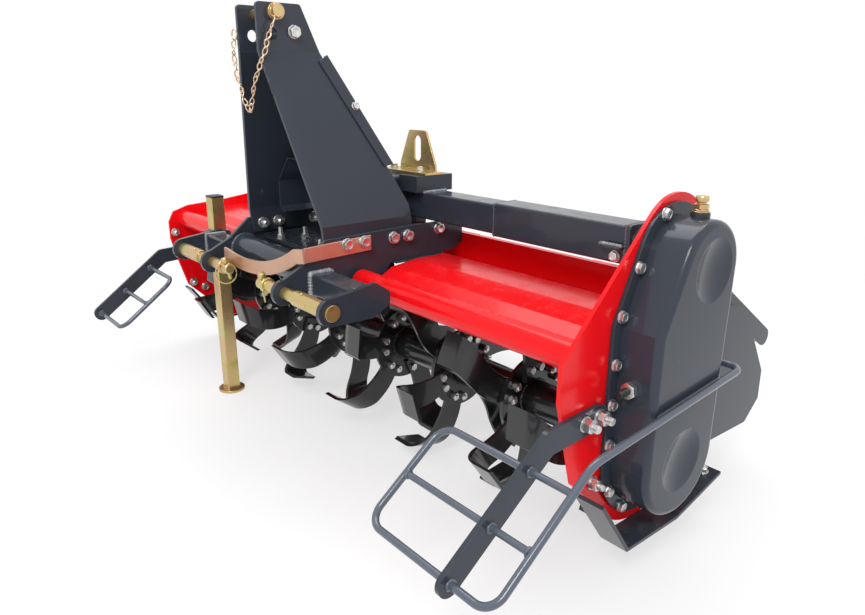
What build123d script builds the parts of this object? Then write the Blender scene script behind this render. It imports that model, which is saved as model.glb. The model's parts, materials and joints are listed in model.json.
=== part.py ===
from build123d import *
import os
from math import asin, atan2, cos, degrees, hypot, radians, sin

os.makedirs("parts", exist_ok=True)

# Rotary tiller with a side chain drive, in millimetres.
# X runs across the machine with the chain case at +X, -Y points to the tractor, Z is up.
# The pieces are drawn about a point on the floor below the rotor's middle.

# Side plates and sheet thicknesses
PLATE_X = 880.0            # outer face of each side plate
PLATE_T = 8.0
SHEET_T = 4.0              # hood
BAR_T = 12.0               # hitch plates
MAST_T = 10.0
FIT_GAP = 0.2              # between curved faces that seat on each other
INNER_X = PLATE_X - PLATE_T

# Rotor
ROTOR_Z = 245.0
TIP_R = 245.0
ROTOR_TUBE_R = 42.0
ROTOR_TUBE_WALL = 9.0
ROTOR_END_GAP = 14.0       # rotor tube to side plate
STUB_R = 25.0
RUN_GAP = 0.05             # running fit of the shafts
FLANGE_R = 100.0
FLANGE_T = 10.0
FLANGE_PITCH = 235.0
FLANGE_COUNT = 8
TINE_T = 8.0
TINE_REACH = 95.0          # sideways reach of a tine from its flange
TINE_BEND_R = 46.0
TINE_FACE = 228.0          # outer face of a tine's wing from the rotor axis
HELIX_STEP = 21.0          # degrees from one flange to the next

# Drive
DRIVE_Y = 40.0
DRIVE_Z = 627.0
CASE_TOP = (30.0, 611.0)
CASE_TOP_R = 91.0
CASE_LOW_R = 115.0
CASE_KNEE_Z = 516.0        # where the front edge starts to lean back
CASE_FLANGE = 24.0
CASE_FLANGE_T = 8.0
CASE_DEPTH = 79.0
CASE_WALL = 4.0
CASE_EDGE_R = 13.0
DISH_DEPTH = 11.0
DISH_RIM = 6.0
LOW_DISH_R = 64.0
TOP_DISH_R = 60.0
BEARING_R = 70.0
BEARING_T = 8.0

# Hitch
HITCH_X = 187.0            # inner face of the long hitch plates
EAR_X = 380.0              # inner face of the outer ears
PIN_Y = -404.0
PIN_Z = 480.0
PIN_R = 14.0
PIN_THICK_R = 18.0
PIN_TIP_X = 82.0
PIN_STEP_X = 252.0
PIN_END = 6.0              # how far the thick end stands out of the ear
NOSE_R = 30.0
CROSS_TUBE = (-310.0, 505.0)
CROSS_TUBE_R = 36.0
CROSS_TUBE_WALL = 8.0
MAST_TOP_Z = 1100.0
MAST_BEND_TOP_Z = MAST_TOP_Z - 102.0
MAST_CORNER_R = 9.0
TOP_GAP = 42.0             # half the gap between the mast plates at the top
TOP_PIN = (-310.0, MAST_TOP_Z - 20.0)
TOP_PIN_R = 12.0
TOP_HOLE = (-316.0, MAST_TOP_Z - 66.0)
TOP_HOLE_R = 13.0
SPACER = (-262.0, MAST_TOP_Z - 60.0)
SPACER_R = 13.0
MAST_BEND_LOW_Z = 612.0
MAST_FOOT_Z = 545.0

# Hood outline across the machine, as (Y, Z) of the outer face from front to rear
HOOD_TUBE = (-205.0, 476.0)
HOOD_TUBE_R = 29.0
HOOD_PATH = [
    (HOOD_TUBE[0] + 27.5, HOOD_TUBE[1] + 4.0),
    (-150.0, 478.0),
    (-115.0, 497.0),
    (-40.0, 506.0),
    (60.0, 506.0),
    (100.0, 486.0),
    (135.0, 480.0),
    (135.0, 549.0),
    (150.0, 549.0),
    (274.0, 506.0),
]
HOOD_FLAT_Z = 506.0
HOOD_SLOT_X = 214.0        # the red sheet stops just outside the hitch plates
HOOD_SLOT_Y = (-240.0, 60.0)
CENTRE_PLATE_Y = -100.0
HOOD_WALL_Y = 135.0

# Tailboard
HINGE = (300.0, 492.0)
HINGE_R = 14.0
HINGE_PIN_R = 7.0
HINGE_BORE_GAP = 0.3
HINGE_XS = (-600.0, 0.0, 600.0)
KNUCKLE = 60.0
KNUCKLE_GAP = 1.0
BOARD_SLOPE = 32.5         # degrees below level at rest
BOARD_LENGTH = 305.0
BOARD_T = 3.0
BOARD_X = 857.0
BOARD_DROP = 12.0          # face of the board below the hinge line
BOARD_START = 27.0
STRAP_R = 22.0
STRAP_T = 6.0
CHEEK_T = 4.0

# Beam and gearbox
BEAM_Y = 64.0
BEAM_HALF = 39.0
BEAM_WALL = 6.0
BEAM_STEP_X = 424.0
BEAM_STEP = 4.0            # how much smaller the inner length is all round
BEAM_END_X = 786.0
BEAM_PLATE_T = 10.0
HOUSING_R = 36.0
GEARBOX_HALF = 95.0
GEARBOX_Y = (-85.0, 95.0)
GEARBOX_TOP = 700.0
GEARBOX_EDGE = 10.0

# Parking leg
LEG_Y = -284.0
LEG_HALF = 20.0
LEG_WALL = 3.0
LEG_TOP = 613.0
LEG_GAP = 0.5
FOOT_R = 40.0
FOOT_T = 8.0
SOCKET_Z = (455.0, 515.0)
SOCKET_WALL = 6.0
LEG_X = -EAR_X - BAR_T - SOCKET_WALL - LEG_GAP - LEG_HALF

# Front guards
ROD_R = 7.0
RUNG_R = 6.5
RUNG_START_X = 900.0       # where the right guard's top rod is welded on to a thinner stub
ARM_T = 10.0
ARM_HALF = 24.0
ARM_REAR = (-CASE_LOW_R - CASE_FLANGE - ARM_HALF - 2.0, 359.0)
ARM_BEND = (-297.0, 352.0)
ARM_SLOPE = 36.5
RUNGS = (58.0, 170.0, 277.0)   # distance of each rod below the bend
GUARD_INNER_X = 672.0
GUARD_OUTER_X = 978.0
GUARD_LEFT_OUTER_X = 930.0
GUARD_REAR = (172.0, 392.0)
GUARD_CORNER_R = 35.0

# Skids, as (Y, Z) of the lower face from front to rear
SKID_PATH = [(-208.0, 212.0), (-115.0, 80.0), (60.0, 76.0), (228.0, 116.0)]
SKID_T = 8.0
SKID_WIDTH = 62.0

finished = []


def keep(builder, label):
    """Name a finished piece and keep it for the export."""
    builder.part.label = label
    finished.append(builder.part)


def sheet(path, thickness):
    """Closed outline of a bent sheet that lies on the right-hand side of its path."""
    inner = []
    last = len(path) - 1
    for i, point in enumerate(path):
        before = path[i - 1] if i > 0 else None
        after = path[i + 1] if i < last else None
        headings = []
        for a, b in ((before, point), (point, after)):
            if a is not None and b is not None:
                headings.append(atan2(b[1] - a[1], b[0] - a[0]))
        mean = sum(headings) / len(headings)
        reach = thickness / cos((headings[-1] - headings[0]) / 2)
        inner.append((point[0] + reach * sin(mean), point[1] - reach * cos(mean)))
    return list(path) + inner[::-1]


def along(start, angle, distance):
    """Point at a distance from start, at an angle in degrees."""
    return (start[0] + distance * cos(radians(angle)), start[1] + distance * sin(radians(angle)))


def slot_at(p, q, radius, mode=Mode.ADD):
    """Rounded bar between two points of the sketch."""
    length = hypot(q[0] - p[0], q[1] - p[1])
    turn = degrees(atan2(q[1] - p[1], q[0] - p[0]))
    with Locations(Location(((p[0] + q[0]) / 2, (p[1] + q[1]) / 2, 0), (0, 0, turn))):
        SlotCenterToCenter(length, 2 * radius, mode=mode)


def tangent_angle(point, centre, radius):
    """Direction from point to its upper tangent on a circle, in degrees."""
    run = hypot(centre[0] - point[0], centre[1] - point[1])
    return degrees(atan2(centre[1] - point[1], centre[0] - point[0]) + asin(radius / run))


def case_outline():
    """Chain case: straight rear edge, a leaning upper front and two round ends."""
    knee = (-CASE_LOW_R, CASE_KNEE_Z)
    lean = tangent_angle(knee, CASE_TOP, CASE_TOP_R)
    with BuildLine() as outline:
        Line((CASE_LOW_R, ROTOR_Z), (CASE_TOP[0] + CASE_TOP_R, CASE_TOP[1]))
        top = CenterArc(CASE_TOP, CASE_TOP_R, 0, lean + 90)
        Polyline(top @ 1, knee, (-CASE_LOW_R, ROTOR_Z))
        CenterArc((0, ROTOR_Z), CASE_LOW_R, 180, 180)
    return make_face(outline.edges(), mode=Mode.PRIVATE)


# Hood: a sheet rolled into a tube along its front edge
with BuildPart() as hood_shell:
    with BuildSketch(Plane.YZ.offset(-INNER_X)):
        Polygon(*sheet(HOOD_PATH, SHEET_T), align=None)
        with Locations(HOOD_TUBE):
            Circle(HOOD_TUBE_R)
            Circle(HOOD_TUBE_R - SHEET_T, mode=Mode.SUBTRACT)
    extrude(amount=2 * INNER_X)
    for x in HINGE_XS:
        for side in (-1, 1):
            start = x + side * (KNUCKLE / 2 + KNUCKLE_GAP) - (KNUCKLE if side < 0 else 0)
            with BuildSketch(Plane.YZ.offset(start)):
                with Locations(HINGE):
                    Circle(HINGE_R)
                Polygon((268, 508.1), (276, 505.3), (296, 505), (290, 496), (272, 502.5), align=None)
                with Locations(HINGE):
                    Circle(HINGE_PIN_R + FIT_GAP, mode=Mode.SUBTRACT)
            extrude(amount=KNUCKLE)
    with BuildSketch(Plane.XY.offset(HOOD_TUBE[1] - 60)):
        Polygon(
            (-HOOD_SLOT_X, HOOD_SLOT_Y[0]), (HOOD_SLOT_X, HOOD_SLOT_Y[0]),
            (HOOD_SLOT_X, HOOD_SLOT_Y[1]), (-HOOD_SLOT_X, HOOD_SLOT_Y[1]), align=None,
        )
    extrude(amount=120, mode=Mode.SUBTRACT)
keep(hood_shell, "hood_shell")

# Dark plate that fills the hood between the hitch plates and carries the gearbox
with BuildPart() as centre_plate:
    with BuildSketch(Plane.XY.offset(HOOD_FLAT_Z - SHEET_T)):
        Polygon(
            (-HOOD_SLOT_X, CENTRE_PLATE_Y), (HOOD_SLOT_X, CENTRE_PLATE_Y),
            (HOOD_SLOT_X, HOOD_SLOT_Y[1]), (-HOOD_SLOT_X, HOOD_SLOT_Y[1]), align=None,
        )
    extrude(amount=SHEET_T)
keep(centre_plate, "centre_plate")

# Right side plate, with an arch round the chain case
ARCH_R = 114.0
PLATE_NOSE = (-267.0, 479.0)
PLATE_REAR_Y = 155.0
with BuildPart() as side_plate_right:
    with BuildSketch(Plane.YZ.offset(INNER_X)):
        with BuildLine():
            lean = tangent_angle(PLATE_NOSE, (DRIVE_Y, DRIVE_Z), ARCH_R)
            arch = CenterArc((DRIVE_Y, DRIVE_Z), ARCH_R, 0, lean + 90)
            Polyline(arch @ 1, PLATE_NOSE, (-267, 410), (-243, 324), (-218, 237), (-85, 107))
            bottom = CenterArc((0, ROTOR_Z), 162, degrees(atan2(-138, -85)), -degrees(atan2(-138, -85)))
            Polyline((-85, 107), bottom @ 0)
            Polyline(bottom @ 1, (PLATE_REAR_Y, ROTOR_Z + 60), arch @ 0)
        make_face()
        with Locations((0, ROTOR_Z)):
            Circle(STUB_R + 20, mode=Mode.SUBTRACT)
    extrude(amount=PLATE_T)
keep(side_plate_right, "side_plate_right")

# Left side plate, cut to the hood's own outline
with BuildPart() as side_plate_left:
    with BuildSketch(Plane.YZ.offset(-PLATE_X)):
        with BuildLine():
            bottom = CenterArc((0, ROTOR_Z), 162, degrees(atan2(-138, -85)), -degrees(atan2(-138, -85)))
            Polyline(
                bottom @ 1, (165, 480), (150, 565), (120, 568), (60, 545), (-60, 530), (-190, 522),
                (-245, 505), (-264, 470), (-264, 410), (-243, 324), (-218, 237), (-85, 107), bottom @ 0,
            )
        make_face()
        with Locations((0, ROTOR_Z)):
            Circle(STUB_R + 20, mode=Mode.SUBTRACT)
    extrude(amount=PLATE_T)
keep(side_plate_left, "side_plate_left")

# Cheeks that close the ends behind the rotor, inside the side plates
CHEEK_CORNER_R = 6.0
CHEEK = [
    (110, 160), (308, 144), (466, 138), (522, 186), (519, 261), (462, 344), (438, 375),
    (400, 437), (383, 449), (317, 469), (150, 474), (110, 470),
]
for side, label in ((1, "right"), (-1, "left")):
    start = INNER_X - CHEEK_T if side > 0 else -INNER_X
    with BuildPart() as cheek:
        with BuildSketch(Plane.YZ.offset(start)) as outline:
            Polygon(*CHEEK, align=None)
            fillet(outline.vertices(), CHEEK_CORNER_R)
        extrude(amount=CHEEK_T)
    keep(cheek, f"end_cheek_{label}")

# Beam: a smaller length at the gearbox, a larger sleeve and an end plate
BEAM_Z = DRIVE_Z
for label, start, end, half in (
    ("beam_inner", GEARBOX_HALF, BEAM_STEP_X, BEAM_HALF - BEAM_STEP),
    ("beam_sleeve", BEAM_STEP_X, BEAM_END_X, BEAM_HALF),
):
    with BuildPart() as beam:
        with BuildSketch(Plane.YZ.offset(start)):
            with Locations((BEAM_Y, BEAM_Z)):
                RectangleRounded(2 * half, 2 * half, 6)
                Rectangle(2 * (half - BEAM_WALL), 2 * (half - BEAM_WALL), mode=Mode.SUBTRACT)
        extrude(amount=end - start)
    keep(beam, label)

with BuildPart() as beam_end:
    with BuildSketch(Plane.YZ.offset(BEAM_END_X)):
        with Locations((BEAM_Y, BEAM_Z)):
            RectangleRounded(2 * BEAM_HALF + 6, 2 * BEAM_HALF + 6, 10)
    extrude(amount=BEAM_PLATE_T)
    with BuildSketch(Plane.YZ.offset(BEAM_END_X + BEAM_PLATE_T)):
        with Locations((BEAM_Y, BEAM_Z)):
            Circle(HOUSING_R)
    extrude(amount=INNER_X - BEAM_END_X - BEAM_PLATE_T)
keep(beam_end, "drive_housing")

# Gearbox on the hood, with the flange that carries the shaft guard and the input boss
SPLINE_R = 17.5
GEARBOX_LOW = 560.0        # underside of the case, carried on a narrower foot
FOOT_Y = (-55.0, 45.0)
FRONT_FLANGE = (240.0, 150.0, 671.0)   # width, height and mid height
FRONT_FLANGE_T = 8.0
INPUT_BOSS = 34.0
INPUT_BOSS_R = 46.0
INPUT_BORE = 60.0
with BuildPart() as gearbox:
    with BuildSketch(Plane.XZ.offset(-GEARBOX_Y[1])):
        with Locations((0, (GEARBOX_LOW + GEARBOX_TOP) / 2)):
            RectangleRounded(2 * GEARBOX_HALF, GEARBOX_TOP - GEARBOX_LOW, GEARBOX_EDGE)
    extrude(amount=GEARBOX_Y[1] - GEARBOX_Y[0])
    with BuildSketch(Plane.XY.offset(HOOD_FLAT_Z)):
        with Locations((0, (FOOT_Y[0] + FOOT_Y[1]) / 2)):
            Rectangle(2 * GEARBOX_HALF, FOOT_Y[1] - FOOT_Y[0])
    extrude(amount=GEARBOX_LOW + GEARBOX_EDGE - HOOD_FLAT_Z)
    with BuildSketch(Plane.XZ.offset(-GEARBOX_Y[0])):
        with Locations((0, FRONT_FLANGE[2])):
            Rectangle(FRONT_FLANGE[0], FRONT_FLANGE[1])
    extrude(amount=FRONT_FLANGE_T)
    with BuildSketch(Plane.XZ.offset(-GEARBOX_Y[0] + FRONT_FLANGE_T)):
        with Locations((0, DRIVE_Z)):
            Circle(INPUT_BOSS_R)
    extrude(amount=INPUT_BOSS)
    with BuildSketch(Plane.XZ.offset(-GEARBOX_Y[0] + FRONT_FLANGE_T + INPUT_BOSS)):
        with Locations((0, DRIVE_Z)):
            Circle(SPLINE_R + RUN_GAP)
    extrude(amount=-INPUT_BORE, mode=Mode.SUBTRACT)
keep(gearbox, "gearbox")

# Input shaft with its splines
SPLINES = 6
SHAFT_TIP_Y = -190.0
SHAFT_REAR_Y = GEARBOX_Y[0] - FRONT_FLANGE_T - INPUT_BOSS + INPUT_BORE - 5
with BuildPart() as pto_shaft:
    with BuildSketch(Plane.XZ.offset(-SHAFT_REAR_Y)):
        with Locations((0, DRIVE_Z)):
            Circle(SPLINE_R)
    extrude(amount=SHAFT_REAR_Y - SHAFT_TIP_Y)
    with BuildSketch(Plane.XZ.offset(-SHAFT_TIP_Y)):
        with Locations((0, DRIVE_Z)):
            with PolarLocations(SPLINE_R, SPLINES):
                Rectangle(6, 8)
    extrude(amount=-62, mode=Mode.SUBTRACT)
keep(pto_shaft, "pto_shaft")

# Guard over the input shaft, open below
GUARD_SHEET_T = 3.0
GUARD_FRONT_Y = -220.0
SHAFT_GUARD = [
    (-123, 599), (-144, 612), (-144, 684), (-90, 746), (90, 746), (144, 684), (144, 612), (123, 599),
]
with BuildPart() as shaft_guard:
    with BuildSketch(Plane.XZ.offset(-GEARBOX_Y[0] + FRONT_FLANGE_T)):
        Polygon(*sheet(SHAFT_GUARD, GUARD_SHEET_T), align=None)
    extrude(amount=GEARBOX_Y[0] - FRONT_FLANGE_T - GUARD_FRONT_Y)
keep(shaft_guard, "shaft_guard")

# Chain case: flange plate and pressed cover with two dishes
with BuildPart() as case_flange:
    with BuildSketch(Plane.YZ.offset(PLATE_X)):
        add(case_outline())
        offset(amount=CASE_FLANGE, kind=Kind.ARC)
        with Locations((0, ROTOR_Z)):
            Circle(STUB_R + 20, mode=Mode.SUBTRACT)
    extrude(amount=CASE_FLANGE_T)
keep(case_flange, "chain_case_flange")

COVER_X = PLATE_X + CASE_FLANGE_T
PLUG_Z = CASE_TOP[1] + CASE_TOP_R + 8
CASE_FACE_X = COVER_X + CASE_DEPTH
with BuildPart() as case_cover:
    with BuildSketch(Plane.YZ.offset(COVER_X)):
        add(case_outline())
    extrude(amount=CASE_DEPTH)
    fillet(case_cover.faces().sort_by(Axis.X)[-1].edges(), CASE_EDGE_R)
    rims = []
    for (y, z), radius in (((0, ROTOR_Z), LOW_DISH_R), ((CASE_TOP[0] + 6, CASE_TOP[1]), TOP_DISH_R)):
        bowl = (radius**2 + DISH_DEPTH**2) / (2 * DISH_DEPTH)
        with Locations((CASE_FACE_X - DISH_DEPTH + bowl, y, z)):
            Sphere(bowl, mode=Mode.SUBTRACT)
        rims += [e for e in case_cover.edges().filter_by(GeomType.CIRCLE)
                 if abs(e.radius - radius) < FIT_GAP and abs(e.center().X - CASE_FACE_X) < FIT_GAP]
    fillet(rims, DISH_RIM)
    with BuildSketch(Plane.YZ.offset(COVER_X)):
        add(case_outline())
        offset(amount=-CASE_WALL, kind=Kind.ARC)
    extrude(amount=CASE_DEPTH - DISH_DEPTH - CASE_WALL - 1, mode=Mode.SUBTRACT)
    with BuildSketch(Plane.XY.offset(PLUG_Z - 16)):
        with Locations((COVER_X + 37, DRIVE_Y)):
            Circle(17)
    extrude(amount=16)
    with BuildSketch(Plane.XY.offset(PLUG_Z)):
        with Locations((COVER_X + 37, DRIVE_Y)):
            Circle(9)
    extrude(amount=-12, mode=Mode.SUBTRACT)
keep(case_cover, "chain_case_cover")

# Filler plug with its breather cap
with BuildPart() as filler_plug:
    with BuildSketch(Plane.XY.offset(PLUG_Z)):
        with Locations((COVER_X + 37, DRIVE_Y)):
            Circle(15)
    extrude(amount=4)
    with BuildSketch(Plane.XY.offset(PLUG_Z + 4)):
        with Locations((COVER_X + 37, DRIVE_Y)):
            RegularPolygon(13, 6)
    extrude(amount=10)
    with BuildSketch(Plane.XY.offset(PLUG_Z + 14)):
        with Locations((COVER_X + 37, DRIVE_Y)):
            Circle(8)
    extrude(amount=7)
    with BuildSketch(Plane.XY.offset(PLUG_Z + 21)):
        with Locations((COVER_X + 37, DRIVE_Y)):
            Circle(11)
    extrude(amount=9)
    chamfer(filler_plug.edges().filter_by(GeomType.CIRCLE).group_by(Axis.Z)[-1], 2)
    with BuildSketch(Plane.XY.offset(PLUG_Z)):
        with Locations((COVER_X + 37, DRIVE_Y)):
            Circle(9 - FIT_GAP)
    extrude(amount=-9)
keep(filler_plug, "filler_plug")

# Chain tensioner: a bolt and lock nut in the case's front wall
TENSION = (917.0, 408.0)
with BuildPart() as chain_tensioner:
    with BuildSketch(Plane.XZ.offset(CASE_LOW_R)):
        with Locations(TENSION):
            RegularPolygon(15, 6)
    extrude(amount=12)
    with BuildSketch(Plane.XZ.offset(CASE_LOW_R + 12)):
        with Locations(TENSION):
            Circle(7)
    extrude(amount=26)
keep(chain_tensioner, "chain_tensioner")

# Bearing plates of the rotor
for side, label in ((1, "right"), (-1, "left")):
    start = INNER_X - BEARING_T if side > 0 else -INNER_X
    with BuildPart() as bearing:
        with BuildSketch(Plane.YZ.offset(start)):
            with Locations((0, ROTOR_Z)):
                Circle(BEARING_R)
                Circle(STUB_R + RUN_GAP, mode=Mode.SUBTRACT)
        extrude(amount=BEARING_T)
    keep(bearing, f"rotor_bearing_{label}")

CAP_T = 34.0
with BuildPart() as bearing_cap:
    with BuildSketch(Plane.YZ.offset(-PLATE_X)):
        with Locations((0, ROTOR_Z)):
            Circle(85)
            Circle(STUB_R + 20, mode=Mode.SUBTRACT)
    extrude(amount=-10)
    with BuildSketch(Plane.YZ.offset(-PLATE_X - 10)):
        with Locations((0, ROTOR_Z)):
            Circle(55)
            Circle(STUB_R + 20, mode=Mode.SUBTRACT)
    extrude(amount=10 - CAP_T)
    with BuildSketch(Plane.YZ.offset(-PLATE_X - CAP_T)):
        with Locations((0, ROTOR_Z)):
            Circle(55)
    extrude(amount=-6)
    chamfer(bearing_cap.edges().filter_by(GeomType.CIRCLE).group_by(Axis.X)[0], 4)
keep(bearing_cap, "bearing_cap_left")

# Rotor tube with a stub at each end
TUBE_END = INNER_X - ROTOR_END_GAP
TUBE_PLUG = 60.0           # length of each solid end
STUB_ENDS = (-PLATE_X - CAP_T + 4, COVER_X + 40)
with BuildPart() as rotor_tube:
    with BuildSketch(Plane.YZ.offset(-TUBE_END)):
        with Locations((0, ROTOR_Z)):
            Circle(ROTOR_TUBE_R)
    extrude(amount=2 * TUBE_END)
    with BuildSketch(Plane.YZ.offset(STUB_ENDS[0])):
        with Locations((0, ROTOR_Z)):
            Circle(STUB_R)
    extrude(amount=STUB_ENDS[1] - STUB_ENDS[0])
    with BuildSketch(Plane.YZ.offset(-TUBE_END + TUBE_PLUG)):
        with Locations((0, ROTOR_Z)):
            Circle(ROTOR_TUBE_R - ROTOR_TUBE_WALL)
    extrude(amount=2 * (TUBE_END - TUBE_PLUG), mode=Mode.SUBTRACT)
keep(rotor_tube, "rotor_tube")

# One tine, bent to +X: shank, quarter bend and wing cut from one curved outline.
# Its own frame has the radius along Z, the cutting direction along Y and the shank at X 0 to TINE_T.
WING_MID = TINE_FACE - TINE_T / 2
with BuildPart() as tine:
    with BuildSketch(Plane.XZ.offset(-100)):
        with BuildLine():
            shank = Line((TINE_T / 2, 48), (TINE_T / 2, WING_MID - TINE_BEND_R))
            bend = CenterArc((TINE_T / 2 + TINE_BEND_R, WING_MID - TINE_BEND_R), TINE_BEND_R, 180, -90)
            Line(bend @ 1, (TINE_REACH, WING_MID))
        trace(line_width=TINE_T)
    extrude(amount=200)
    with BuildSketch(Plane.YZ):
        with BuildLine():
            front = Polyline((-28, 48), (-31, 118))
            lead = ThreePointArc(front @ 1, (-12, 192), (36, 250))
            tip = Line(lead @ 1, (96, 236))
            trail = ThreePointArc(tip @ 1, (50, 176), (28, 104))
            Polyline(trail @ 1, (28, 48), (-28, 48))
        make_face()
    extrude(amount=2 * TINE_REACH, both=True, mode=Mode.INTERSECT)
with BuildPart() as tine_left:
    mirror(tine.part, about=Plane.YZ)

# Tine rings: a welded flange with its tines bolted on both faces
for index in range(FLANGE_COUNT):
    middle = (index - (FLANGE_COUNT - 1) / 2) * FLANGE_PITCH
    first = index == 0
    last = index == FLANGE_COUNT - 1
    with BuildPart() as ring:
        with BuildSketch(Plane.YZ.offset(middle - FLANGE_T / 2)):
            with Locations((0, ROTOR_Z)):
                Circle(FLANGE_R)
                Circle(ROTOR_TUBE_R + FIT_GAP, mode=Mode.SUBTRACT)
        extrude(amount=FLANGE_T)
        for place in range(6):
            turn = index * HELIX_STEP + place * 60
            to_right = place % 2 == 0
            if (to_right and last) or (not to_right and first):
                continue
            shape = tine.part if to_right else tine_left.part
            shift = FLANGE_T / 2 if to_right else -FLANGE_T / 2
            add(Location((middle + shift, 0, ROTOR_Z), (turn, 0, 0)) * shape)
    keep(ring, f"tine_ring_{index + 1}")

# Hitch plates: long side plates with a nose for the link pin, seated on the hood
HITCH = [
    (-426, 500), (-351, 536), (-292, 585), (-40, 590), (25, 588), (118, 588),
    (HOOD_WALL_Y, 575), (HOOD_WALL_Y, 525), (104, 508), (60, HOOD_FLAT_Z), (-40, HOOD_FLAT_Z),
    (-102, 506), (-126, 481), (-404, 450),
]
for side, label in ((1, "right"), (-1, "left")):
    start = HITCH_X if side > 0 else -HITCH_X - BAR_T
    with BuildPart() as hitch_plate:
        with BuildSketch(Plane.YZ.offset(start)):
            Polygon(*HITCH, align=None)
            with Locations((PIN_Y, PIN_Z)):
                Circle(NOSE_R)
            with Locations((PIN_Y, PIN_Z)):
                Circle(PIN_R + FIT_GAP, mode=Mode.SUBTRACT)
        extrude(amount=BAR_T)
    keep(hitch_plate, f"hitch_plate_{label}")

# Outer ears with the stub tube that ties them to the hitch plates
EAR_CORNER_R = 12.0
for side, label in ((1, "right"), (-1, "left")):
    start = EAR_X if side > 0 else -EAR_X - BAR_T
    stub_start = HITCH_X + BAR_T if side > 0 else -EAR_X
    with BuildPart() as ear:
        with BuildSketch(Plane.YZ.offset(start)) as outline:
            Polygon((-404, 510), (-290, 524), (-254, 500), (-254, 470), (-300, 448), (-404, 450), align=None)
            fillet(outline.vertices().group_by(Axis.X)[-1], EAR_CORNER_R)
            with Locations((PIN_Y, PIN_Z)):
                Circle(NOSE_R)
                Circle(PIN_THICK_R + FIT_GAP, mode=Mode.SUBTRACT)
        extrude(amount=BAR_T)
        with BuildSketch(Plane.YZ.offset(stub_start)):
            with Locations((CROSS_TUBE[0], 488)):
                RectangleRounded(56, 50, 6)
                Rectangle(46, 40, mode=Mode.SUBTRACT)
        extrude(amount=EAR_X - HITCH_X - BAR_T)
    keep(ear, f"hitch_ear_{label}")

# Link pins: thick next to the ear, thinner through the hitch plate to the free inner end
for side, label in ((1, "right"), (-1, "left")):
    with BuildPart() as link_pin:
        with BuildSketch(Plane.YZ.offset(side * PIN_TIP_X)):
            with Locations((PIN_Y, PIN_Z)):
                Circle(PIN_R)
        extrude(amount=side * (PIN_STEP_X - PIN_TIP_X))
        with BuildSketch(Plane.YZ.offset(side * PIN_STEP_X)):
            with Locations((PIN_Y, PIN_Z)):
                Circle(PIN_THICK_R)
        extrude(amount=side * (EAR_X + BAR_T + PIN_END - PIN_STEP_X))
        chamfer(link_pin.edges().filter_by(GeomType.CIRCLE).sort_by(Axis.X)[0 if side > 0 else -1], 3)
    keep(link_pin, f"lower_link_pin_{label}")

# Cross tube between the hitch plates and the tie plate behind it
with BuildPart() as cross_tube:
    with BuildSketch(Plane.YZ.offset(-HITCH_X)):
        with Locations(CROSS_TUBE):
            Circle(CROSS_TUBE_R)
            Circle(CROSS_TUBE_R - CROSS_TUBE_WALL, mode=Mode.SUBTRACT)
    extrude(amount=2 * HITCH_X)
keep(cross_tube, "hitch_cross_tube")

TIE_Z = 526.0
TIE_T = 8.0
with BuildPart() as tie_plate:
    with BuildSketch(Plane.XY.offset(TIE_Z)):
        with Locations((0, -190)):
            Rectangle(2 * HITCH_X, 130)
    extrude(amount=TIE_T)
keep(tie_plate, "hitch_tie_plate")

# Mast plates: one bent sheet each side, cut to the mast's side outline
MAST_BEND = [
    (HITCH_X, MAST_FOOT_Z), (HITCH_X, MAST_BEND_LOW_Z),
    (TOP_GAP + MAST_T, MAST_BEND_TOP_Z), (TOP_GAP + MAST_T, MAST_TOP_Z),
]
MAST_SIDE = [
    (-352, MAST_TOP_Z), (-242, MAST_TOP_Z), (-195, MAST_BEND_TOP_Z), (-48, 682), (-30, 640),
    (-29, MAST_FOOT_Z), (-284, MAST_FOOT_Z), (-292, MAST_BEND_LOW_Z), (-352, MAST_BEND_TOP_Z),
]
for side, label in ((1, "right"), (-1, "left")):
    with BuildPart() as mast_plate:
        with BuildSketch(Plane.XZ):
            Polygon(*[(side * x, z) for x, z in sheet(MAST_BEND[::-1], MAST_T)], align=None)
        extrude(amount=400)
        with BuildSketch(Plane.YZ) as mast_plate_sketch:
            Polygon(*MAST_SIDE, align=None)
            fillet(mast_plate_sketch.vertices().group_by(Axis.Y)[-1], MAST_CORNER_R)
            for hole, radius in ((TOP_PIN, TOP_PIN_R + FIT_GAP), (TOP_HOLE, TOP_HOLE_R)):
                with Locations(hole):
                    Circle(radius, mode=Mode.SUBTRACT)
        extrude(amount=400, both=True, mode=Mode.INTERSECT)
    keep(mast_plate, f"mast_plate_{label}")

# Cover that closes the mast's rear, between the mast plates
COVER_T = 5.0
COVER_TOP = (-197.0, MAST_BEND_TOP_Z - 4.0)
COVER_LOW = (-88.0, 760.0)


def mast_half(z):
    """Half the clear width between the mast plates at a height."""
    share = (MAST_BEND_TOP_Z - z) / (MAST_BEND_TOP_Z - MAST_BEND_LOW_Z)
    return TOP_GAP - 0.6 + share * (HITCH_X - TOP_GAP - MAST_T)


with BuildPart() as mast_cover:
    with BuildSketch(Plane.XZ):
        Polygon(
            (-mast_half(COVER_LOW[1]), COVER_LOW[1]), (mast_half(COVER_LOW[1]), COVER_LOW[1]),
            (mast_half(COVER_TOP[1]), COVER_TOP[1]), (-mast_half(COVER_TOP[1]), COVER_TOP[1]),
            align=None,
        )
    extrude(amount=400)
    with BuildSketch(Plane.YZ):
        Polygon(
            COVER_TOP, COVER_LOW, (COVER_LOW[0] - COVER_T, COVER_LOW[1]),
            (COVER_TOP[0] - COVER_T, COVER_TOP[1]), align=None,
        )
    extrude(amount=400, both=True, mode=Mode.INTERSECT)
keep(mast_cover, "mast_rear_cover")

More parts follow.
